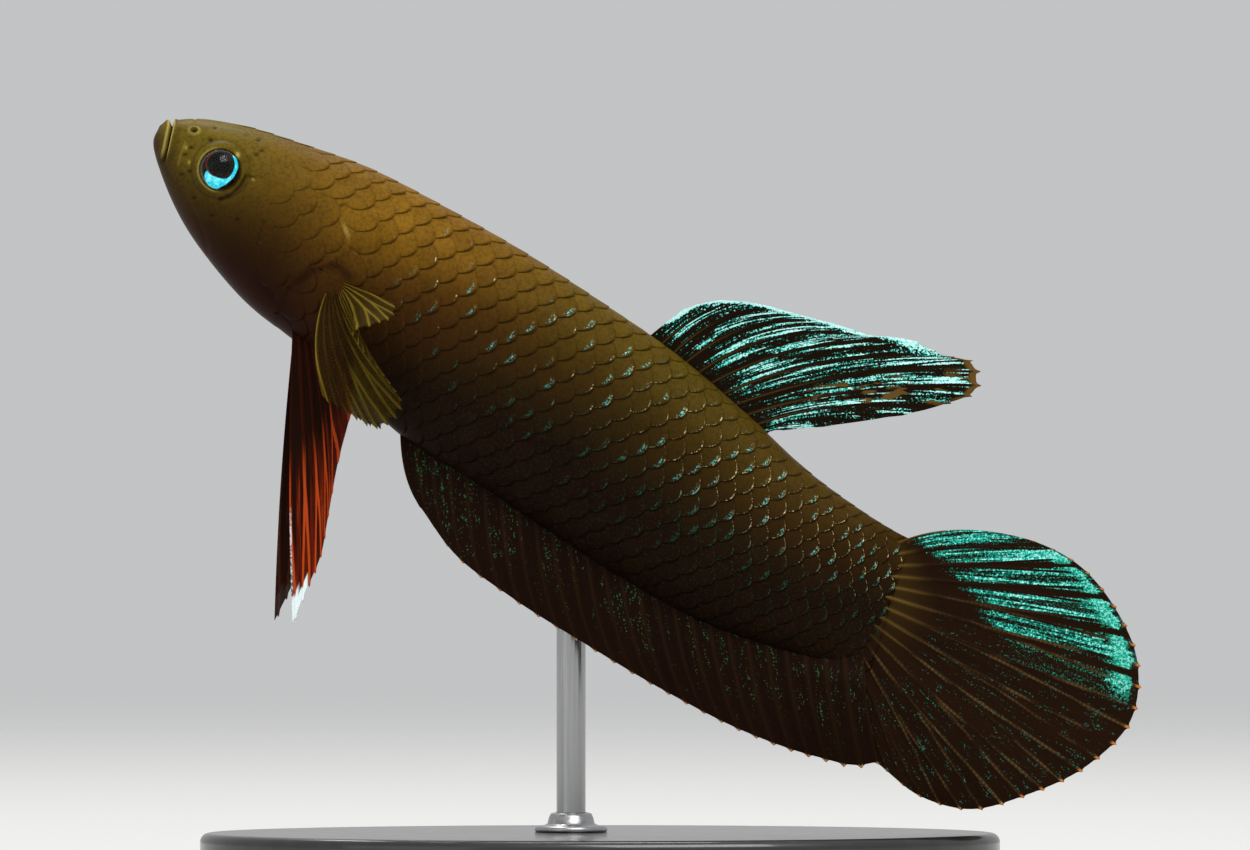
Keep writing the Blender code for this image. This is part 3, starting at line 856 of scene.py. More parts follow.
FLANK_ROWS = range(-9, 10)  # rows over and under the one along the mid side
HEAD_ROWS = range(-7, 7)
HEAD_FIRST = 2.3  # the count along the body of the first head scale's tip
HEAD_COLUMNS = 14
COVER_TOP = 39.4  # over this height the gill cover has no free edge
NAPE_FROM = -15.8  # where the flank's scales start there
NAPE_TO = -14.9  # where the head's scales end there
CHEEK_FROM = (-17.9, -16.7)  # where the head's scales start on the cheek and over it
CROWN = 39.6  # the height that parts these two
CHEEK_TO = 0.74  # how far down they reach, as a share of the way round
DORSAL_SPAN = (10.3, 12.9)  # places where the fin stands on the back
BREAST_SPAN = (6.8, 8.5)  # places of the belly between the pelvic fins and the anal fin
# Scales near this line get painted shade, for the hollow over the pectoral fin's root.
SOCKET_ARCH = (  # a dark fold over the pectoral fin's root
    (-16.50, 34.30),
    (-15.84, 34.95),
    (-15.13, 35.28),
    (-14.30, 35.07),
    (-13.75, 34.50),
)

table_places = np.linspace(0.0, TAIL_ROOT, 301)
table_turns = np.linspace(0.0, math.pi, 241)
half_rings = body_points(table_places[:, None], table_turns[None, :])
steps = np.linalg.norm(np.diff(half_rings, axis=1), axis=2)
round_length = np.concatenate([np.zeros((len(steps), 1)), np.cumsum(steps, axis=1)], axis=1)
girth = round_length[:, -1]
table_shares = np.linspace(0.0, 1.0, 121)
turn_table = np.array(
    [np.interp(table_shares, line / line[-1], table_turns) for line in round_length]
)
mid_row_line = body_points(table_places, turn_table[:, round(MID_ROW * 120)])
row_steps = np.linalg.norm(np.diff(mid_row_line, axis=0), axis=1)
fullness = girth / girth.max()
pitch_here = SCALE_PITCH * fullness**PITCH_TAPER
row_share_here = ROW_SPACING * fullness**ROW_TAPER / girth
pitch_steps = row_steps / ((pitch_here[1:] + pitch_here[:-1]) / 2)
count_along = np.concatenate([[0], np.cumsum(pitch_steps)])


def turn_at(where, share):
    """The turn at a share of the way round one side, by length, from back to belly."""
    flat_place = np.clip(where, 0, TAIL_ROOT) / TAIL_ROOT * (len(table_places) - 1)
    flat_share = np.clip(share, 0, 1) * (len(table_shares) - 1)
    i = np.minimum(flat_place.astype(int), len(table_places) - 2)
    j = np.minimum(flat_share.astype(int), len(table_shares) - 2)
    u, v = flat_place - i, flat_share - j
    first = turn_table[i, j] * (1 - v) + turn_table[i, j + 1] * v
    second = turn_table[i + 1, j] * (1 - v) + turn_table[i + 1, j + 1] * v
    return first * (1 - u) + second * u


def on_side(where, share, side):
    """Points and outward directions at a share of the way round, past the midlines too."""
    folded = np.where(share < 0, -share, np.where(share > 1, 2 - share, share))
    other = np.where((share < 0) | (share > 1), -side, side)
    turn = turn_at(where, folded)
    turn = np.where(other > 0, turn, math.tau - turn)
    return body_points(where, turn), body_outwards(where, turn), turn


def plate_faces(rows, columns):
    """A closed plate: an upper grid of points, a lower one after it, and a rim between them."""
    upper = quads(rows, columns)
    lower = upper[:, ::-1] + rows * columns
    loop = list(range(columns))
    loop += [r * columns + columns - 1 for r in range(1, rows)]
    loop += [(rows - 1) * columns + c for c in range(columns - 2, -1, -1)]
    loop += [r * columns for r in range(rows - 2, 0, -1)]
    loop = np.array(loop)
    after = np.roll(loop, -1)
    under = rows * columns
    rim = np.stack([loop, loop + under, after + under, after], axis=-1)
    return np.concatenate([upper, lower, rim])


scale_look, paint = finish(
    "betta_scales", {"Specular IOR Level": 0.07, "Specular Tint": WARM_SHEEN}
)
hide = markings(paint)
along, down, edge, across = paint.attributes("along", "down", "edge", "across")
luck, rank = paint.attributes("luck", "rank")
hide = (0.20 * luck * (1 - 0.7 * down.smooth(0.3, 0.6))).mix(hide, rgb(60, 38, 10))
# painted shade in the hollow over the pectoral fin's root
hide = (0.7 * paint.attribute("socket_shade")).mix(hide, rgb(24, 8, 5))
# Dark lower rims: partly the scales' own pigment, partly painted shade as from light above
lower_edge = across.smooth(-0.15, 0.35)
rim_pigment_and_shade = edge.smooth(0.90, 0.99) * (0.06 + 0.62 * lower_edge)
rim_pigment_and_shade = rim_pigment_and_shade * (0.30 + 0.70 * along.smooth(0.15, 0.35))
rim_pigment_and_shade = rim_pigment_and_shade * down.smooth(0.0, 0.07) * (1 - 0.5 * down.smooth(0.35, 0.6))
hide = rim_pigment_and_shade.mix(hide, rgb(18, 9, 4))
tail_ward = along.smooth(0.36, 0.95)
glint = paint.noise(paint.place(), 5600.0, 3.0, 0.7)
dots = paint.noise(paint.place(), 9500.0, 1.0, 0.5)
mid_side = down.smooth(0.05, 0.13) * (1 - down.smooth(0.60, 0.86))
spread = (luck + 0.80 * tail_ward - 0.30).smooth(0.30, 0.42) * along.smooth(0.28, 0.40)
line = edge.smooth(0.915, 0.930) * (1 - edge.smooth(0.945, 0.962))
bar_high = -0.46 + 0.3 * luck
bar_low = -0.10 + 0.55 * rank
bar = line * across.smooth(bar_high - 0.06, bar_high + 0.06)
bar = bar * (1 - across.smooth(bar_low - 0.1, bar_low + 0.1))
breaks = paint.noise(paint.place(), 2600.0, 2.0, 0.6).smooth(0.44, 0.56)
bar = bar * glint.smooth(0.47, 0.56) * spread * (0.25 + 0.75 * breaks)
upper_trim = tail_ward.smooth(0.45, 0.85).top(across.smooth(-0.30, -0.10))
trim = line * upper_trim * across.smooth(-0.9, -0.8) * (1 - across.smooth(0.8, 0.9))
trim = trim * dots.smooth(0.52, 0.60) * tail_ward.smooth(0.15, 0.7) * (0.35 + 0.65 * breaks)
patch = edge.smooth(0.82, 0.87) * (1 - edge.smooth(0.89, 0.93))
off_patch = paint.math("ABSOLUTE", across - 0.12)
patch = patch * (1 - off_patch.smooth(0.18, 0.44)) * dots.smooth(0.49, 0.57)
patch = patch * (rank + 0.15 * tail_ward).smooth(0.66, 0.72) * along.smooth(0.30, 0.42)
shine = bar.top(0.75 * trim).top(0.8 * patch) * mid_side
warm = glint.smooth(0.4, 0.7).mix(rgb(196, 176, 84), rgb(250, 244, 206))
cool = glint.smooth(0.4, 0.7).mix(rgb(70, 168, 150), rgb(140, 232, 226))
coolness = (across + 0.5 * rank - 0.40).smooth(-0.15, 0.15).top(patch.smooth(0.1, 0.4))
coolness = coolness * (1 - trim.smooth(0.1, 0.5)) + 0.5 * down.smooth(0.35, 0.6)
tint = coolness.least(1.0).mix(warm, cool)
tint = down.smooth(0.30, 0.60).mix(tint, rgb(24, 84, 66))
dust = paint.noise(paint.place(), 8200.0, 1.0).smooth(0.60, 0.68) * down.smooth(0.30, 0.55)
hide = (0.16 * dust * along.smooth(0.25, 0.5)).mix(hide, rgb(26, 70, 52))
hide = shine.mix(hide, tint)
ribs = paint.math("SINE", across * 46.0) * (1 - edge)
rings = paint.math("SINE", edge * 90.0)
grit = paint.noise(paint.place(), 5200.0, 2.0)
drive(
    scale_look,
    {
        "Base Color": hide,
        "Roughness": 0.52 - 0.20 * shine - 0.08 * glint,
        "Metallic": 0.30 * shine,
        "Normal": paint.bump(0.10 * rings + 0.08 * ribs + 0.5 * grit, 0.010),
    },
)


def lay_scales(name, roots, rise, size, seed):
    """A coat piece: one joined mesh of scales. Each root gives the count along the body of the
    scale's rear tip, its row below the mid side, its side, and a share of the way round to pin
    it to, or -1.
    """
    counts, rows, sides, pinned = np.array(roots, float).T[:, :, None, None]
    dice = np.random.default_rng(seed)
    n = len(roots)
    jitter = dice.uniform(-1, 1, (4, n, 1, 1))
    back = np.linspace(0, 1, SCALE_GRID[0])[None, :, None] ** 0.85
    across = np.linspace(-1, 1, SCALE_GRID[1])[None, None, :]
    reach = back * (1 - RIM_ROUND * np.abs(across) ** 2.2)
    at_count = counts + size * SCALE_REACH * (reach - 1) + 0.04 * jitter[0] * across
    where = np.interp(at_count, count_along, table_places)
    rows_off = size * (across * (0.99 + 0.02 * jitter[1]) + 0.04 * jitter[0] * (reach - 0.5))
    row_share = np.interp(where, table_places, row_share_here)
    centre = np.where(pinned < 0, MID_ROW + rows * row_share, pinned)
    share = centre + rows_off * row_share
    points, facing, turn = on_side(where, share, np.broadcast_to(sides, share.shape))
    # A scale rises from its root to its tip, bulges, and leans out at its lower side. It lies
    # flatter by the midlines of back and belly, at the tail root and low on the flank.
    lift = (rise + ROOT_SINK) * reach * (1 + 0.08 * jitter[2]) - ROOT_SINK
    lift = lift * (1 - 0.25 * across**2) + 0.015 * (1 - across**2) * reach
    lift = lift * (1 + LOWER_TILT * across * reach)
    from_midline = np.minimum(np.abs(share), np.abs(1 - share))
    lift = lift * (0.35 + 0.65 * smoothstep(0.0, 0.16, from_midline))
    lift = lift * (1 - 0.6 * smoothstep(13.4, TAIL_ROOT, where))
    lift = lift * (1 - 0.45 * smoothstep(0.45, 0.80, share))
    x, z = points[..., 0], points[..., 2]
    upper = points + facing * (lift - coat_depth(x) - shoulder_drop(x, z))[..., None]
    lower = upper - facing * SCALE_THICK
    solid = np.stack([upper, lower], axis=1).reshape(n, -1, 3)
    one = plate_faces(*SCALE_GRID)
    first_point = np.arange(n) * solid.shape[1]
    faces = (one[None] + first_point[:, None, None]).reshape(-1, 4)
    flipped = np.broadcast_to(sides.ravel()[:, None] < 0, (n, len(one))).ravel()
    faces[flipped] = faces[flipped][:, ::-1]
    shape = where.shape

    def for_both(values):
        """The same numbers for a scale's upper and lower points."""
        values = np.broadcast_to(values, shape)
        return np.stack([values, values], axis=1).ravel()

    piece = mesh_piece(
        name,
        solid.reshape(-1, 3),
        faces,
        scale_look,
        {
            "along": for_both(along_body(where)),
            "down": for_both(down_body(turn)),
            "edge": for_both(back),
            "across": for_both(across),
            "socket_shade": for_both(swell(near_line(x, z, SOCKET_ARCH), 0.30)),
            "luck": for_both(dice.uniform(0, 1, (n, 1, 1))),
            "rank": for_both(dice.uniform(0, 1, (n, 1, 1))),
        },
    )
    lengthwise = where[:, 0, SCALE_GRID[1] // 2] / TAIL_ROOT
    sideways = 0.5 + 0.49 * sides[:, 0, 0] * np.clip(centre[:, 0, 0], 0, 1)
    u = lengthwise[:, None, None] + UV_TUFT * (reach - 0.5)
    v = sideways[:, None, None] + UV_TUFT * across / 2
    spots = np.stack([for_both(np.clip(u, 0, 1)), for_both(np.clip(v, 0, 1))], axis=-1)
    layer = piece.data.uv_layers.new(name="OFBake")
    corner = np.zeros(len(piece.data.loops), np.int32)
    piece.data.loops.foreach_get("vertex_index", corner)
    layer.data.foreach_set("uv", spots[corner].astype(np.float32).ravel())
    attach(piece, "root")
    return piece


def spot_of(count, row):
    """Place in the side view of a count along the body and a row, and the share round."""
    where = np.interp(count, count_along, table_places)
    share = MID_ROW + row * np.interp(where, table_places, row_share_here)
    ((x, _, z),), _, _ = on_side(np.array([where]), np.array([share]), np.array([-1.0]))
    return x, z, share


def before_cover_edge(x, z):
    """How far a spot lies before the gill cover's rear edge, in millimetres."""
    return near_line(np.array(x), np.array(z), gill_curve)


last_count = count_along[-1]
flank = {-1: [], 1: []}
cheek = {-1: [], 1: []}
for row in FLANK_ROWS:
    for count in np.arange(6.0, last_count + 0.3, 1.0) + 0.5 * (row % 2):
        x, z, share = spot_of(count - 0.6, row)
        half_row = 0.5 * np.interp(count, count_along, row_share_here)
        on_shoulder = before_cover_edge(x, z) < -0.25 if z < COVER_TOP else x > NAPE_FROM
        if half_row < share < 1 - 0.8 * half_row and on_shoulder:
            for side in (-1, 1):
                flank[side].append((count, row, side, -1))
for row in HEAD_ROWS:
    for number in range(HEAD_COLUMNS):
        count = HEAD_FIRST + HEAD_SIZE * (number + 0.5 * (row % 2))
        x, z, share = spot_of(count - 0.7, HEAD_SIZE * row)
        tip_x, tip_z, _ = spot_of(count, HEAD_SIZE * row)
        clear_of_eye = math.hypot(x - ORBIT_AT[0], z - ORBIT_AT[1]) > ORBIT_RADIUS + 0.95
        on_cover = before_cover_edge(tip_x, tip_z) > 0.04 if z < COVER_TOP else tip_x < NAPE_TO
        behind_face = x > (CHEEK_FROM[1] if z > CROWN else CHEEK_FROM[0])
        if 0.05 < share < CHEEK_TO and on_cover and clear_of_eye and behind_face:
            for side in (-1, 1):
                cheek[side].append((count, HEAD_SIZE * row, side, -1))
spine = []
for count in np.arange(7.0, last_count, 1.0):
    where = np.interp(count, count_along, table_places)
    if not DORSAL_SPAN[0] < where < DORSAL_SPAN[1]:
        spine.append((count, 0, -1, 0.0))
    if BREAST_SPAN[0] < where < BREAST_SPAN[1]:
        spine.append((count, 0, -1, 1.0))
for side, side_name in ((-1, "left"), (1, "right")):
    lay_scales("scales_" + side_name, flank[side], FLANK_RISE, 1.0, seed=5 + side)
    lay_scales("scales_head_" + side_name, cheek[side], HEAD_RISE, HEAD_SIZE, seed=11 + side)
lay_scales("scales_midline", spine, SPINE_RISE, 1.0, seed=21)


# ---------------------------------------------------------------------------- dorsal fin
# Ten bony rays with dark skin over them, and a thin membrane between them that glitters
# turquoise. The rays stand out on both sides and end in small points along the margin.
DORSAL_ROOT = ((2.45, 31.10), (8.50, 25.60))
DORSAL_MARGIN = (
    (4.60, 32.80),
    (6.20, 33.25),
    (8.50, 33.15),
    (11.00, 32.50),
    (13.30, 31.90),
    (15.30, 31.30),
    (17.10, 31.15),
    (19.00, 30.30),
    (20.80, 29.75),
    (20.95, 28.45),
    (19.00, 27.50),
    (16.00, 26.85),
    (12.80, 26.40),
    (10.10, 26.15),
)
DORSAL_MIDDLE = ((3.60, 32.05), (6.50, 33.00), (10.50, 31.20), (13.00, 29.00), (9.30, 26.30))
DORSAL_TIPS = (0.0, 0.10, 0.19, 0.275, 0.35, 0.435, 0.51, 0.575, 0.625, 0.70, 1.0)
MEMBRANE = 0.08
RAY_HEIGHT = 0.20  # a ray's full thickness at the root, with the membrane
RAY_WIDTH = 0.13


def ray_ridges(offset, out, spacing, forks):
    """1 on a ray and 0 between two. Each ray parts in two at each fork on the way out."""
    branches = [np.zeros_like(out)]
    for number, start in enumerate(forks):
        part = 0.25 / 2**number * smoothstep(start, 1.0, out) ** 0.7
        branches = [branch + way * part for branch in branches for way in (-1, 1)]
    width = np.clip(RAY_WIDTH / spacing, 0.05, 0.34) / 1.35 ** len(forks)
    return np.max([swell(offset - branch, width) for branch in branches], axis=0)


def fin_sheet(name, node, slot_name, look, roots, middle, margin, rays, **shape):
    """A fin as one closed sheet that thickens over its rays.

    Rays bend from the root line to the margin by way of the middle line. Optional shape words:
    tips (the rays' shares of the margin), forks, scallop (how far the margin draws in between
    tips, as a share of a ray), sway (y by share of the way out), side, wave and steps.
    """
    per_ray, steps = shape.get("per_ray", 12), shape.get("steps", 72)
    count = np.linspace(0, rays - 1, (rays - 1) * per_ray + 1)
    from_root = count / (rays - 1)
    to_margin = np.interp(count, np.arange(rays), shape.get("tips", np.linspace(0, 1, rays)))
    root = read_line(roots, from_root)[:, None]
    tip = read_line(margin, to_margin)[:, None]
    bend = (root + tip) / 2
    if middle is not None:
        bend = read_line(middle, (from_root + to_margin) / 2)[:, None]
    if "bow" in shape:
        bend = bend + swell(from_root, 0.09)[:, None, None] * np.array(shape["bow"])
    out = np.linspace(0, 1, steps)[None, :] * np.ones((len(count), 1))
    offset = (count - np.round(count))[:, None] * np.ones_like(out)

    def sheet_at(u):
        u = u[..., None]
        flat = (1 - u) ** 2 * root + 2 * u * (1 - u) * bend + u**2 * tip
        y = flat[..., 1] if flat.shape[-1] == 3 else np.zeros(u.shape[:-1])
        if "sway" in shape:
            y = y + shape["sway"](u[..., 0], from_root[:, None])
        y = y * shape.get("side", 1)
        if "wave" in shape:
            size, turns_across, lean = shape["wave"]
            swing = math.tau * (turns_across * from_root[:, None] + lean * u[..., 0])
            y = y + size * np.sin(swing) * u[..., 0] ** 1.5
        return np.stack([flat[..., 0], y, flat[..., -1]], axis=-1)

    flat = sheet_at(out)
    spacing = np.linalg.norm(np.gradient(flat, axis=0), axis=-1) * per_ray
    ridge = ray_ridges(offset, out, spacing, shape.get("forks", ()))
    reach = 1 - shape.get("scallop", 0.0) * (1 - ridge[:, -1:])
    flat = sheet_at(out * reach)
    facing = np.cross(np.gradient(flat, axis=0), np.gradient(flat, axis=1))
    facing /= np.linalg.norm(facing, axis=-1)[..., None] + 1e-9
    rise = (RAY_HEIGHT - MEMBRANE) * shape.get("boldness", 1.0)
    thick = MEMBRANE * (1 - 0.35 * out) + rise * ridge * (1 - 0.62 * out)
    points = np.concatenate(
        [(flat + way * facing * thick[..., None] / 2).reshape(-1, 3) for way in (1, -1)]
    )
    faces = plate_faces(len(count), steps)
    along_ray = np.linalg.norm(np.diff(flat, axis=1), axis=-1)
    run = np.concatenate([np.zeros((len(count), 1)), np.cumsum(along_ray, axis=1)], axis=1)
    numbers = {
        "ridge": ridge,
        "between": 2 * np.abs(offset),
        "out": out,
        "across": from_root[:, None] * np.ones_like(out),
        "run": run,
        "span": count[:, None] * spacing.mean() * np.ones_like(out),
    }
    twice = {key: np.concatenate([v.ravel(), v.ravel()]) for key, v in numbers.items()}
    a, b, c = [points[faces[:, k]] for k in range(3)]
    if np.einsum("ij,ij->i", a, np.cross(b, c)).sum() < 0:
        faces = faces[:, ::-1]
    piece = mesh_piece(name, points, faces, look, twice)
    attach(piece, "root")
    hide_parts(node)
    return piece


def streaks(paint, across, along, detail=3.0):
    """Noise drawn out along the rays: waves for each millimetre across and along them."""
    place = paint.grid(paint.attribute("span") * across, paint.attribute("run") * along)
    return paint.noise(place, 1.0, detail, 0.6)


def glitter(paint, cover, pale):
    """Sparkle where cover is high. Its colours run from deep turquoise to almost white."""
    spark = paint.noise(paint.place(), 10500.0, 1.0, 0.5)
    lit = (spark + 0.44 * cover - 0.27).smooth(0.40, 0.50) * cover.smooth(0.04, 0.20)
    tone = paint.noise(paint.place(), 8000.0, 2.0, 0.7) + 0.30 * (cover - 0.6) + pale
    return lit, tone.ramp(
        (0.0, rgb(4, 50, 44)),
        (0.42, rgb(8, 88, 72)),
        (0.50, rgb(26, 184, 160)),
        (0.57, rgb(82, 234, 218)),
        (0.66, rgb(206, 255, 251)),
    )


def fin_finish(name):
    return finish(name, {"Specular IOR Level": 0.06, "Specular Tint": WARM_SHEEN})


def ray_grain(paint, bands):
    """A normal for the fine grooves of a fin's skin, along its rays."""
    return paint.bump(streaks(paint, 9.0, 3.0) + 0.4 * bands, 0.03)


dorsal_look, paint = fin_finish("dorsal_glitter")
ridge, out, across, between = paint.attributes("ridge", "out", "across", "between")
bands = streaks(paint, 0.8, 0.10, 3.0)
lines = streaks(paint, 3.6, 0.22, 3.0)
open_skin = (between + 0.5 * (bands - 0.5)).smooth(0.12, 0.30) * (1 - ridge.smooth(0.3, 0.7))
cover = open_skin * (0.14 + 0.82 * lines.smooth(0.45, 0.58))
cover = cover * (0.30 + 0.70 * bands.smooth(0.40, 0.56)) * out.smooth(0.0, 0.30)
top_edge = out.smooth(0.86, 0.97) * (1 - across.smooth(0.50, 0.72))
front_edge = (1 - across.smooth(0.02, 0.05)) * out.smooth(0.35, 0.6)
cover = cover.top(0.95 * top_edge).top(front_edge)
low_part = across.smooth(0.70, 0.76) * (1 - across.smooth(0.86, 0.93))
amber = low_part * out.smooth(0.30, 0.45) * streaks(paint, 1.4, 0.5, 2.0).smooth(0.55, 0.62)
amber = amber.top(out.smooth(0.965, 0.985) * across.smooth(0.60, 0.66) * (1 - across.smooth(0.80, 0.9)))
cover = cover * (1 - amber)
lit, tone = glitter(paint, cover, 0.06 * out.smooth(0.3, 0.9) + 0.05)
ground = bands.mix(rgb(9, 6, 4), rgb(28, 18, 9))
ground = (0.5 * ridge.smooth(0.5, 0.9) * (1 - out.smooth(0.2, 0.6))).mix(ground, rgb(88, 62, 22))
ground = (0.8 * amber).mix(ground, rgb(112, 82, 36))
drive(
    dorsal_look,
    {
        "Base Color": lit.mix(ground, tone),
        "Roughness": 0.46 - 0.14 * lit,
        "Metallic": 0.15 * lit,
        "Normal": ray_grain(paint, bands),
    },
)
fin_sheet(
    "dorsal_fin_sheet",
    "dorsal_fin",
    "bright_fin",
    dorsal_look,
    DORSAL_ROOT,
    DORSAL_MIDDLE,
    DORSAL_MARGIN,
    rays=len(DORSAL_TIPS),
    tips=DORSAL_TIPS,
    scallop=0.02,
    forks=(0.55,),
    wave=(0.12, 1.6, 0.5),
)


# ---------------------------------------------------------------------------- tail fin
# A rounded fan of fourteen rays, each forked twice. Its upper part glitters turquoise, the
# rest is wine black with fine pale lines, and pale ray ends show along the margin.
CAUDAL_ROOT = ((15.90, 19.75), (15.20, 16.40), (13.80, 13.10))
CAUDAL_MARGIN = (
    (22.20, 20.45),
    (23.90, 20.05),
    (26.30, 18.85),
    (28.45, 16.40),
    (29.75, 13.20),
    (29.40, 10.20),
    (27.00, 7.65),
    (23.60, 6.00),
    (20.30, 5.20),
    (17.60, 5.95),
    (15.30, 7.75),
)
CAUDAL_RAYS = 14
TOP_RAY_BEND = (-0.50, 1.04)  # the uppermost ray bows upwards

tail_look, paint = fin_finish("tail_glitter")
ridge, out, across, between = paint.attributes("ridge", "out", "across", "between")
bands = streaks(paint, 0.7, 0.05, 3.0)
lines = streaks(paint, 4.4, 0.16, 3.0)
wedge = (between + 0.4 * (bands - 0.5)).smooth(0.16, 0.34) * (1 - ridge.smooth(0.3, 0.65))
start = 0.15 + 0.60 * across + 0.3 * (bands - 0.5)
fade = 1 - (across + 0.20 * (bands - 0.5)).smooth(0.36, 0.50)
cover = wedge * (0.35 + 0.65 * lines.smooth(0.42, 0.58)) * (out - start).smooth(0.0, 0.12)
cover = cover * fade * (0.62 + 0.38 * bands.smooth(0.36, 0.54))
rim_block = (out + 0.20 * (bands - 0.5) + 0.16 * (lines - 0.5)).smooth(0.84, 0.95)
rim_block = rim_block * (1 - out.smooth(0.962, 0.98)) * (1 - across.smooth(0.40, 0.47))
rim_block = rim_block * (between + 0.3 * (lines - 0.5)).smooth(0.10, 0.22) * across.smooth(0.08, 0.13)
cover = cover.top(0.95 * rim_block)
top_lines = (1 - across.smooth(0.05, 0.09)) * out.smooth(0.18, 0.30) * lines.smooth(0.42, 0.54)
cover = cover.top(0.9 * top_lines * (1 - out.smooth(0.93, 0.97)))
low_dust = streaks(paint, 5.5, 0.7, 2.0).smooth(0.46, 0.66)
low_dust = low_dust * out.smooth(0.10, 0.3) * across.smooth(0.25, 0.5)
cover = cover.top(0.24 * low_dust)
lit, tone = glitter(paint, cover, -0.07)
tone = (0.30 * rim_block + 0.35 * low_dust + 0.06).least(1.0).mix(tone, rgb(50, 184, 148))
lit = lit * (1 - 0.45 * low_dust * fade.smooth(1.0, 0.0))
ground = bands.mix(rgb(14, 7, 4), rgb(38, 20, 9))
joints = paint.math("SINE", paint.attribute("run") * 24.0).smooth(-0.3, 0.7)
bone = ridge.smooth(0.25, 0.85) * streaks(paint, 2.6, 0.3).smooth(0.40, 0.62) * (0.55 + 0.45 * joints)
bone = bone * across.smooth(0.22, 0.40) * (1 - across.smooth(0.80, 0.95)) * out.smooth(0.02, 0.12)
ground = (0.75 * bone).mix(ground, rgb(98, 76, 44))
root_haze = (1 - out.smooth(0.05, 0.24)) * (1 - across.smooth(0.35, 0.8))
ground = (0.8 * root_haze * (0.18 + 0.82 * ridge)).mix(ground, rgb(108, 84, 32))
lit = lit * (1 - 0.4 * bone)
ground = (0.8 * (1 - across.smooth(0.0, 0.012))).mix(ground, rgb(126, 88, 38))
ends = out.smooth(0.975, 0.991)
ground = (0.9 * ends * ridge.smooth(0.35, 0.7)).mix(ground, rgb(206, 128, 62))
lit = lit * (1 - 0.85 * ends)
drive(
    tail_look,
    {
        "Base Color": lit.mix(ground, tone),
        "Roughness": 0.46 - 0.14 * lit,
        "Metallic": 0.15 * lit,
        "Normal": ray_grain(paint, bands),
    },
)
fin_sheet(
    "tail_fin_sheet",
    "caudal_fin",
    "bright_fin",
    tail_look,
    CAUDAL_ROOT,
    None,
    CAUDAL_MARGIN,
    rays=CAUDAL_RAYS,
    scallop=0.012,
    forks=(0.30,),
    bow=TOP_RAY_BEND,
    per_ray=20,
    steps=90,
    wave=(0.10, 2.1, 0.3),
)


# ---------------------------------------------------------------------------- anal fin
# The long fin under the belly: wine black, with green flecks in lines along its rays and a
# small pale point at each ray's end. It meets the body along the whole keel.
ANAL_MARGIN = (
    (-9.90, 21.95),
    (-7.95, 19.20),
    (-4.90, 16.85),
    (-0.70, 14.20),
    (4.00, 11.45),
    (8.30, 9.30),
    (12.00, 8.00),
    (14.30, 7.55),
    (15.35, 7.75),
)
ANAL_MIDDLE = ((-11.10, 23.60), (-8.30, 21.30), (-1.00, 16.40), (7.00, 12.00), (14.60, 10.60))
ANAL_FROM, ANAL_TO = 8.75, 14.85  # stations of the body where its root starts and ends
ANAL_RAYS = 27
ROOT_DEPTH = 0.8
TAIL_LAP = 0.34  # how far its rear end passes to the left of the tail fin

anal_look, paint = fin_finish("anal_wine")
ridge, out, across = paint.attributes("ridge", "out", "across")
bands = streaks(paint, 1.2, 0.12, 3.0)
flecks = streaks(paint, 5.2, 1.1, 2.0).smooth(0.42, 0.62)
thick_dust = 1 - 0.6 * out.smooth(0.35, 0.9) + 0.5 * (1 - across.smooth(0.05, 0.3))
cover = 0.30 * flecks * thick_dust * (1 - 0.5 * ridge) * (0.4 + 0.6 * bands.smooth(0.40, 0.58))
lit, tone = glitter(paint, cover, -0.10)
ground = bands.mix(rgb(11, 4, 3), rgb(30, 13, 8))
ground = (0.40 * ridge * (1 - 0.6 * out)).mix(ground, rgb(50, 34, 18))
ends = out.smooth(0.972, 0.99) * ridge.smooth(0.3, 0.7)
ground = (0.85 * ends).mix(ground, rgb(206, 150, 96))
green = bands.smooth(0.3, 0.7).mix(tone, rgb(44, 104, 62))
drive(
    anal_look,
    {
        "Base Color": (0.8 * lit * (1 - ends)).mix(ground, green),
        "Roughness": 0.48 - 0.1 * lit,
        "Normal": ray_grain(paint, bands),
    },
)


def lap_over_tail(out, from_root):
    return -TAIL_LAP * smoothstep(0.80, 0.97, from_root) * smoothstep(0.0, 0.3, out)


keel = np.linspace(ANAL_FROM, ANAL_TO, 12)
keel_belly, keel_back = body_points(keel, math.pi), body_points(keel, 0.0)
inwards = keel_back - keel_belly
inwards /= np.linalg.norm(inwards, axis=1)[:, None]
anal_root = (keel_belly + inwards * ROOT_DEPTH)[:, [0, 2]]
anal_shares = np.linspace(0, 1, ANAL_RAYS)
anal_tips = anal_shares + 0.045 * np.sin(math.pi * anal_shares)
fin_sheet(
    "anal_fin_sheet",
    "anal_fin",
    "dark_fin",
    anal_look,
    anal_root,
    ANAL_MIDDLE,
    ANAL_MARGIN,
    rays=ANAL_RAYS,
    tips=anal_tips,
    scallop=0.03,
    steps=60,
    wave=(0.10, 3.2, 0.4),
    sway=lap_over_tail,
)


# ---------------------------------------------------------------------------- pelvic fins
# A pair of narrow fins that hang from the breast: red rays in dark membrane, the first two
# longer than the rest and white at their ends. They splay, and the right one hangs ahead.
# The right one, on the far side, gets darker reds and almost no white, as painted shade.
PELVIC_ROOT = ((-16.90, 31.60), (-15.10, 30.60))
PELVIC_MARGIN = (
    (-16.83, 15.20),
    (-16.05, 17.20),
    (-15.35, 18.90),
    (-14.90, 21.30),
    (-14.35, 24.30),
    (-13.75, 26.60),
    (-13.45, 28.00),
)
PELVIC_MIDDLE = ((-17.20, 23.50), (-16.00, 24.30), (-14.00, 29.60))
PELVIC_ROOT_Y = 0.95
PELVIC_SPLAY = 1.9
PELVIC_SWING = 4.2
PELVIC_TIPS = (0.0, 0.16, 0.28, 0.44, 0.64, 1.0)


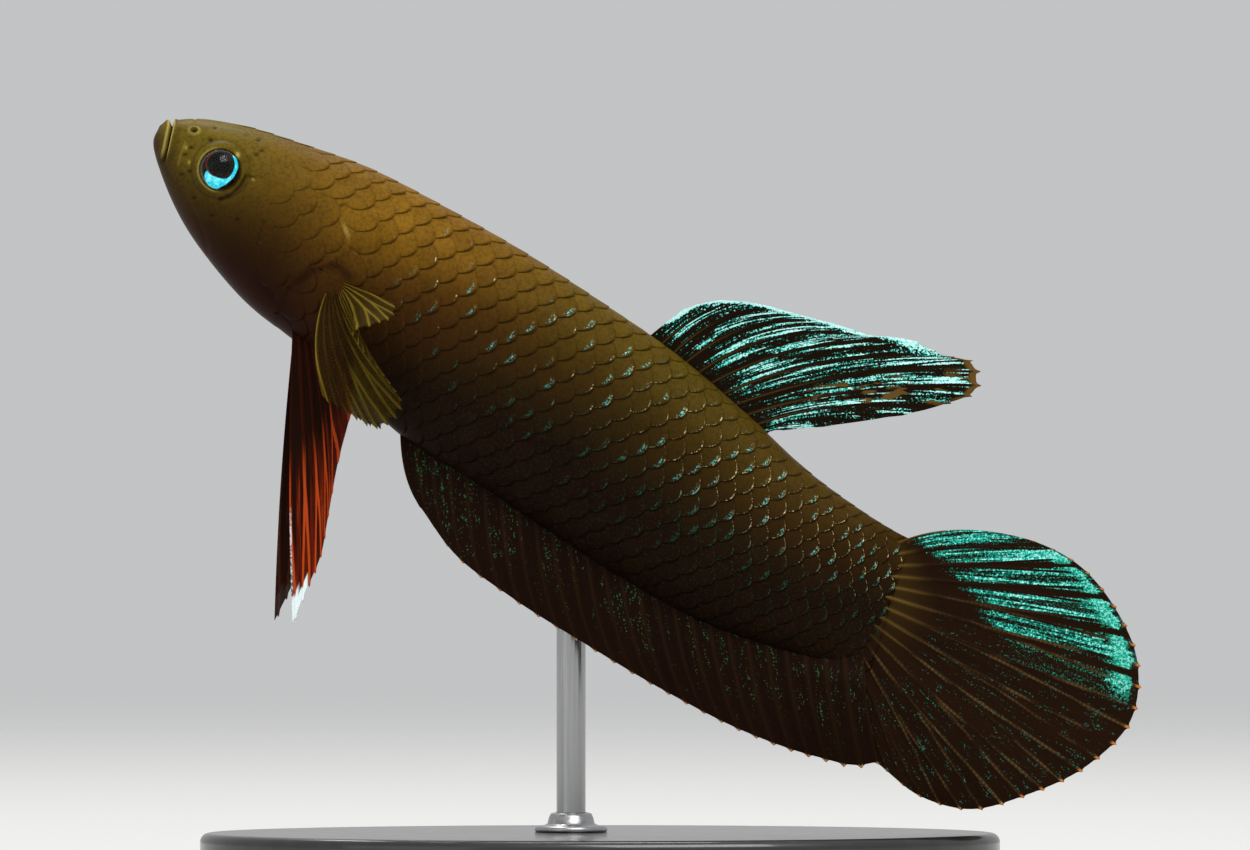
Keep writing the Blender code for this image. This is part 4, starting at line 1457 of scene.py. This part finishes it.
def pelvic_paint(name, bright, deep, white_tip):
    """A pelvic fin's material, between a bright and a deep red."""
    look, paint = fin_finish(name)
    ridge, out, across = paint.attributes("ridge", "out", "across")
    bands = streaks(paint, 2.6, 0.16, 4.0)
    red = (0.9 * bands + 0.42 * ridge.smooth(0.02, 0.5) + 0.12 * out - 0.16).ramp(
        (0.30, rgb(26, 7, 4)), (0.46, deep), (0.62, bright), (0.95, bright)
    )
    dark_root = 1 - (out + 0.25 * (bands - 0.5)).smooth(0.40, 0.60)
    red = (0.96 * dark_root).mix(red, rgb(24, 8, 5))
    rear = across.smooth(0.70, 0.98) * (1 - 0.6 * out.smooth(0.5, 0.8))
    red = (0.8 * rear).mix(red, rgb(34, 14, 8))
    speck = paint.noise(paint.place(), 5000.0, 2.0).smooth(0.42, 0.58)
    front_line = (1 - across.smooth(0.015, 0.03)) * out.smooth(0.60, 0.66) * (0.15 + 0.85 * speck)
    left_arm = (1 - across.smooth(0.07, 0.12)) * out.smooth(0.91, 0.93)
    right_arm = (1 - across.smooth(0.20, 0.24)) * (out + 0.02 * across).smooth(0.945, 0.96)
    white = white_tip * (0.8 * front_line).top(left_arm).top(right_arm)
    drive(
        look,
        {
            "Base Color": (0.96 * white).mix(red, rgb(236, 250, 252)),
            "Roughness": 0.44 - 0.1 * bands,
            "Normal": paint.bump(streaks(paint, 8.0, 2.5), 0.03),
        },
    )
    return look


def pelvic_sway(out, from_root):
    return PELVIC_ROOT_Y + PELVIC_SPLAY * out


def swung(points, pivot, degrees):
    """Points of the side view turned about a pivot, so that what hangs goes forwards."""
    a = math.radians(degrees)
    turn = np.array([[math.cos(a), -math.sin(a)], [math.sin(a), math.cos(a)]])
    return (np.asarray(points) - pivot) @ turn + pivot


hip = np.mean(PELVIC_ROOT, axis=0)
# the right fin's darker reds and missing white tip are painted shade
for side_name, side, swing, bright, deep, white_tip in (
    ("left", -1, 0.0, rgb(178, 66, 22), rgb(92, 24, 9), 1.0),
    ("right", 1, PELVIC_SWING, rgb(64, 26, 12), rgb(34, 12, 8), 0.02),
):
    fin_sheet(
        "pelvic_fin_" + side_name + "_sheet",
        "pelvic_fin_" + side_name,
        "red_fin",
        pelvic_paint("pelvic_red_" + side_name, bright, deep, white_tip),
        swung(PELVIC_ROOT, hip, swing),
        swung(PELVIC_MIDDLE, hip, swing),
        swung(PELVIC_MARGIN, hip, swing),
        rays=len(PELVIC_TIPS),
        tips=PELVIC_TIPS,
        scallop=0.02,
        forks=(0.6,),
        boldness=1.3,
        sway=pelvic_sway,
        side=side,
        steps=90,
        per_ray=18,
    )


# ---------------------------------------------------------------------------- pectoral fins
# Clear olive paddles behind the gill covers, cupped so that their middle rays point outwards.
# The membrane lets what is behind it show through, and the rays are pale.
PECTORAL_HUB = (-14.65, 3.00, 34.15)
PECTORAL_HUB_RADIUS = 0.65
PECTORAL_HUB_ARC = (5.0, -125.0)
PECTORAL_MIDDLE = (
    (-12.95, 5.00, 33.75),
    (-12.85, 5.70, 33.05),
    (-13.10, 5.90, 32.25),
    (-13.20, 5.50, 31.50),
    (-13.50, 4.90, 30.80),
    (-14.60, 4.50, 30.60),
    (-16.10, 4.20, 31.10),
)
PECTORAL_MARGIN = (
    (-11.15, 6.00, 33.05),
    (-11.25, 6.80, 32.35),
    (-12.20, 7.70, 31.90),
    (-13.45, 8.00, 31.45),
    (-13.10, 7.50, 30.70),
    (-12.10, 6.80, 29.50),
    (-11.25, 6.00, 28.40),
    (-10.75, 5.40, 27.45),
    (-11.10, 5.00, 26.75),
    (-12.20, 4.70, 26.20),
    (-13.30, 4.50, 26.70),
    (-15.10, 4.40, 27.80),
)
PECTORAL_RAYS = 13

pectoral_look, paint = finish("pectoral_clear", {"Specular IOR Level": 0.01})
ridge, out, across = paint.attributes("ridge", "out", "across")
bands = streaks(paint, 2.4, 0.3, 3.0)
upper_lobe = 1 - across.smooth(0.26, 0.36)
ray_paleness = ridge * (0.62 + 0.38 * upper_lobe) + 0.5 * across.smooth(0.97, 1.0)
clear_web = (across - 0.45 - 0.42 * out).smooth(0.0, 0.08) * (1 - across.smooth(0.955, 0.98))
olive = (0.5 * bands + 0.6 * ray_paleness - 0.30 * clear_web).ramp(
    (0.15, rgb(40, 30, 9)), (0.5, rgb(80, 64, 18)), (0.95, rgb(134, 110, 36))
)
drive(
    pectoral_look,
    {
        "Base Color": (0.7 * clear_web * (1 - ridge)).mix(olive, rgb(58, 34, 13)),
        "Roughness": 0.58 - 0.1 * bands,
        "Alpha": 0.52 + 0.26 * bands + 0.26 * ridge.smooth(0.25, 0.8) - 0.12 * clear_web,
        "Normal": paint.bump(streaks(paint, 6.0, 0.8, 2.0), 0.006),
    },
)
hub_turn = np.radians(np.linspace(*PECTORAL_HUB_ARC, 8))
hub_arc = np.stack([np.cos(hub_turn), 0 * hub_turn, np.sin(hub_turn)], axis=1)
pectoral_root = np.array(PECTORAL_HUB) + PECTORAL_HUB_RADIUS * hub_arc
for side_name, side in (("left", -1), ("right", 1)):
    fin_sheet(
        "pectoral_fin_" + side_name + "_sheet",
        "pectoral_fin_" + side_name,
        "clear_fin",
        pectoral_look,
        pectoral_root,
        PECTORAL_MIDDLE,
        PECTORAL_MARGIN,
        rays=PECTORAL_RAYS,
        scallop=0.03,
        forks=(0.55,),
        side=side,
        steps=56,
    )


# ---------------------------------------------------------------------------- stand
# An oval base of black lacquered wood and one steel rod, which stands in a turned ferrule and
# ends in a short pin inside the fish. The rod is the part's own solid in a better finish.
BASE_ROUND = 0.5
BASE_SIDES = 256
ROD_RADIUS = 0.8
PIN_LENGTH = 3.0
FERRULE = (  # radius, height over the base
    (0.86, 0.0),
    (1.95, 0.0),
    (2.0, 0.06),
    (2.0, 0.22),
    (1.9, 0.32),
    (1.5, 0.36),
    (1.3, 0.46),
    (1.22, 0.8),
    (1.12, 1.0),
    (0.86, 1.08),
)
lacquer, paint = finish("black_lacquer", {"Coat Weight": 0.6, "Coat Roughness": 0.08})
grain = paint.noise(paint.stretched(70.0, 1100.0, 400.0), 1.0, 5.0, 0.6)
dust = paint.noise(paint.place(), 900.0, 4.0, 0.7)
drive(
    lacquer,
    {
        "Base Color": grain.smooth(0.35, 0.7).mix(rgb(22, 21, 21), rgb(36, 33, 31)),
        "Roughness": 0.24 + 0.18 * dust,
        "Normal": paint.bump(grain, 0.012),
    },
)
steel, paint = finish("brushed_steel", {"Metallic": 1.0})
brushed = paint.noise(paint.stretched(9000.0, 9000.0, 260.0), 1.0, 3.0)
drive(
    steel,
    {
        "Base Color": brushed.mix(rgb(150, 150, 152), rgb(190, 190, 190)),
        "Roughness": 0.22 + 0.2 * brushed,
        "Normal": paint.bump(brushed, 0.004),
    },
)
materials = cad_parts["stand_rod"].data.materials
for number in range(len(materials)):
    materials[number] = steel

rod_low, rod_high = [np.array(corner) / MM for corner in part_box("stand_rod")]
base_low, base_high = [np.array(corner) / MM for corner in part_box("stand_base")]
rod_at = (rod_low + rod_high) / 2


def turned(name, profile, centre, foot, look, sides=64, oval=(0.0, 0.0)):
    """A piece turned on a lathe: radii and heights about an upright axis. An oval piece's two
    half widths are added to its radii.
    """
    turn = np.linspace(0.0, math.tau, sides, endpoint=False)
    radii, heights = np.array(profile, float).T
    points = np.stack(
        [
            centre[0] + (oval[0] + radii[:, None]) * np.cos(turn),
            centre[1] + (oval[1] + radii[:, None]) * np.sin(turn),
            foot + heights[:, None] + 0 * turn,
        ],
        axis=-1,
    )
    piece = mesh_piece(
        name, points.reshape(-1, 3), quads(len(profile), sides, closed=True), look
    )
    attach(piece, "root")
    return piece


half_length, half_width, thick = (base_high - base_low) * (0.5, 0.5, 1.0)
rounding = np.radians(np.linspace(0.0, 90.0, 7))
edge_in, edge_up = BASE_ROUND * (np.sin(rounding) - 1), BASE_ROUND * (1 - np.cos(rounding))
edge_in = np.concatenate([[0.001 - half_width, -BASE_ROUND - 0.02], edge_in, [0.0]])
edge_up = np.concatenate([[0.0, 0.0], edge_up, [BASE_ROUND + 0.02]])
board_outline = list(zip(edge_in, edge_up)) + list(zip(edge_in[::-1], thick - edge_up[::-1]))
board = turned(
    "stand_board",
    board_outline,
    (base_low + base_high) / 2,
    base_low[2],
    lacquer,
    BASE_SIDES,
    (half_length, half_width),
)
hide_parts("stand_base")
ring_profile = FERRULE + (FERRULE[0],)
turned("stand_ferrule", ring_profile, rod_at, base_high[2] + 0.01, steel)
pin_radius = ROD_RADIUS * 0.82
pin = ((0.001, 0.0), (pin_radius, 0.0), (pin_radius, PIN_LENGTH), (0.001, PIN_LENGTH))
turned("stand_pin", pin, rod_at, rod_high[2] - PIN_LENGTH / 2, steel, 32)
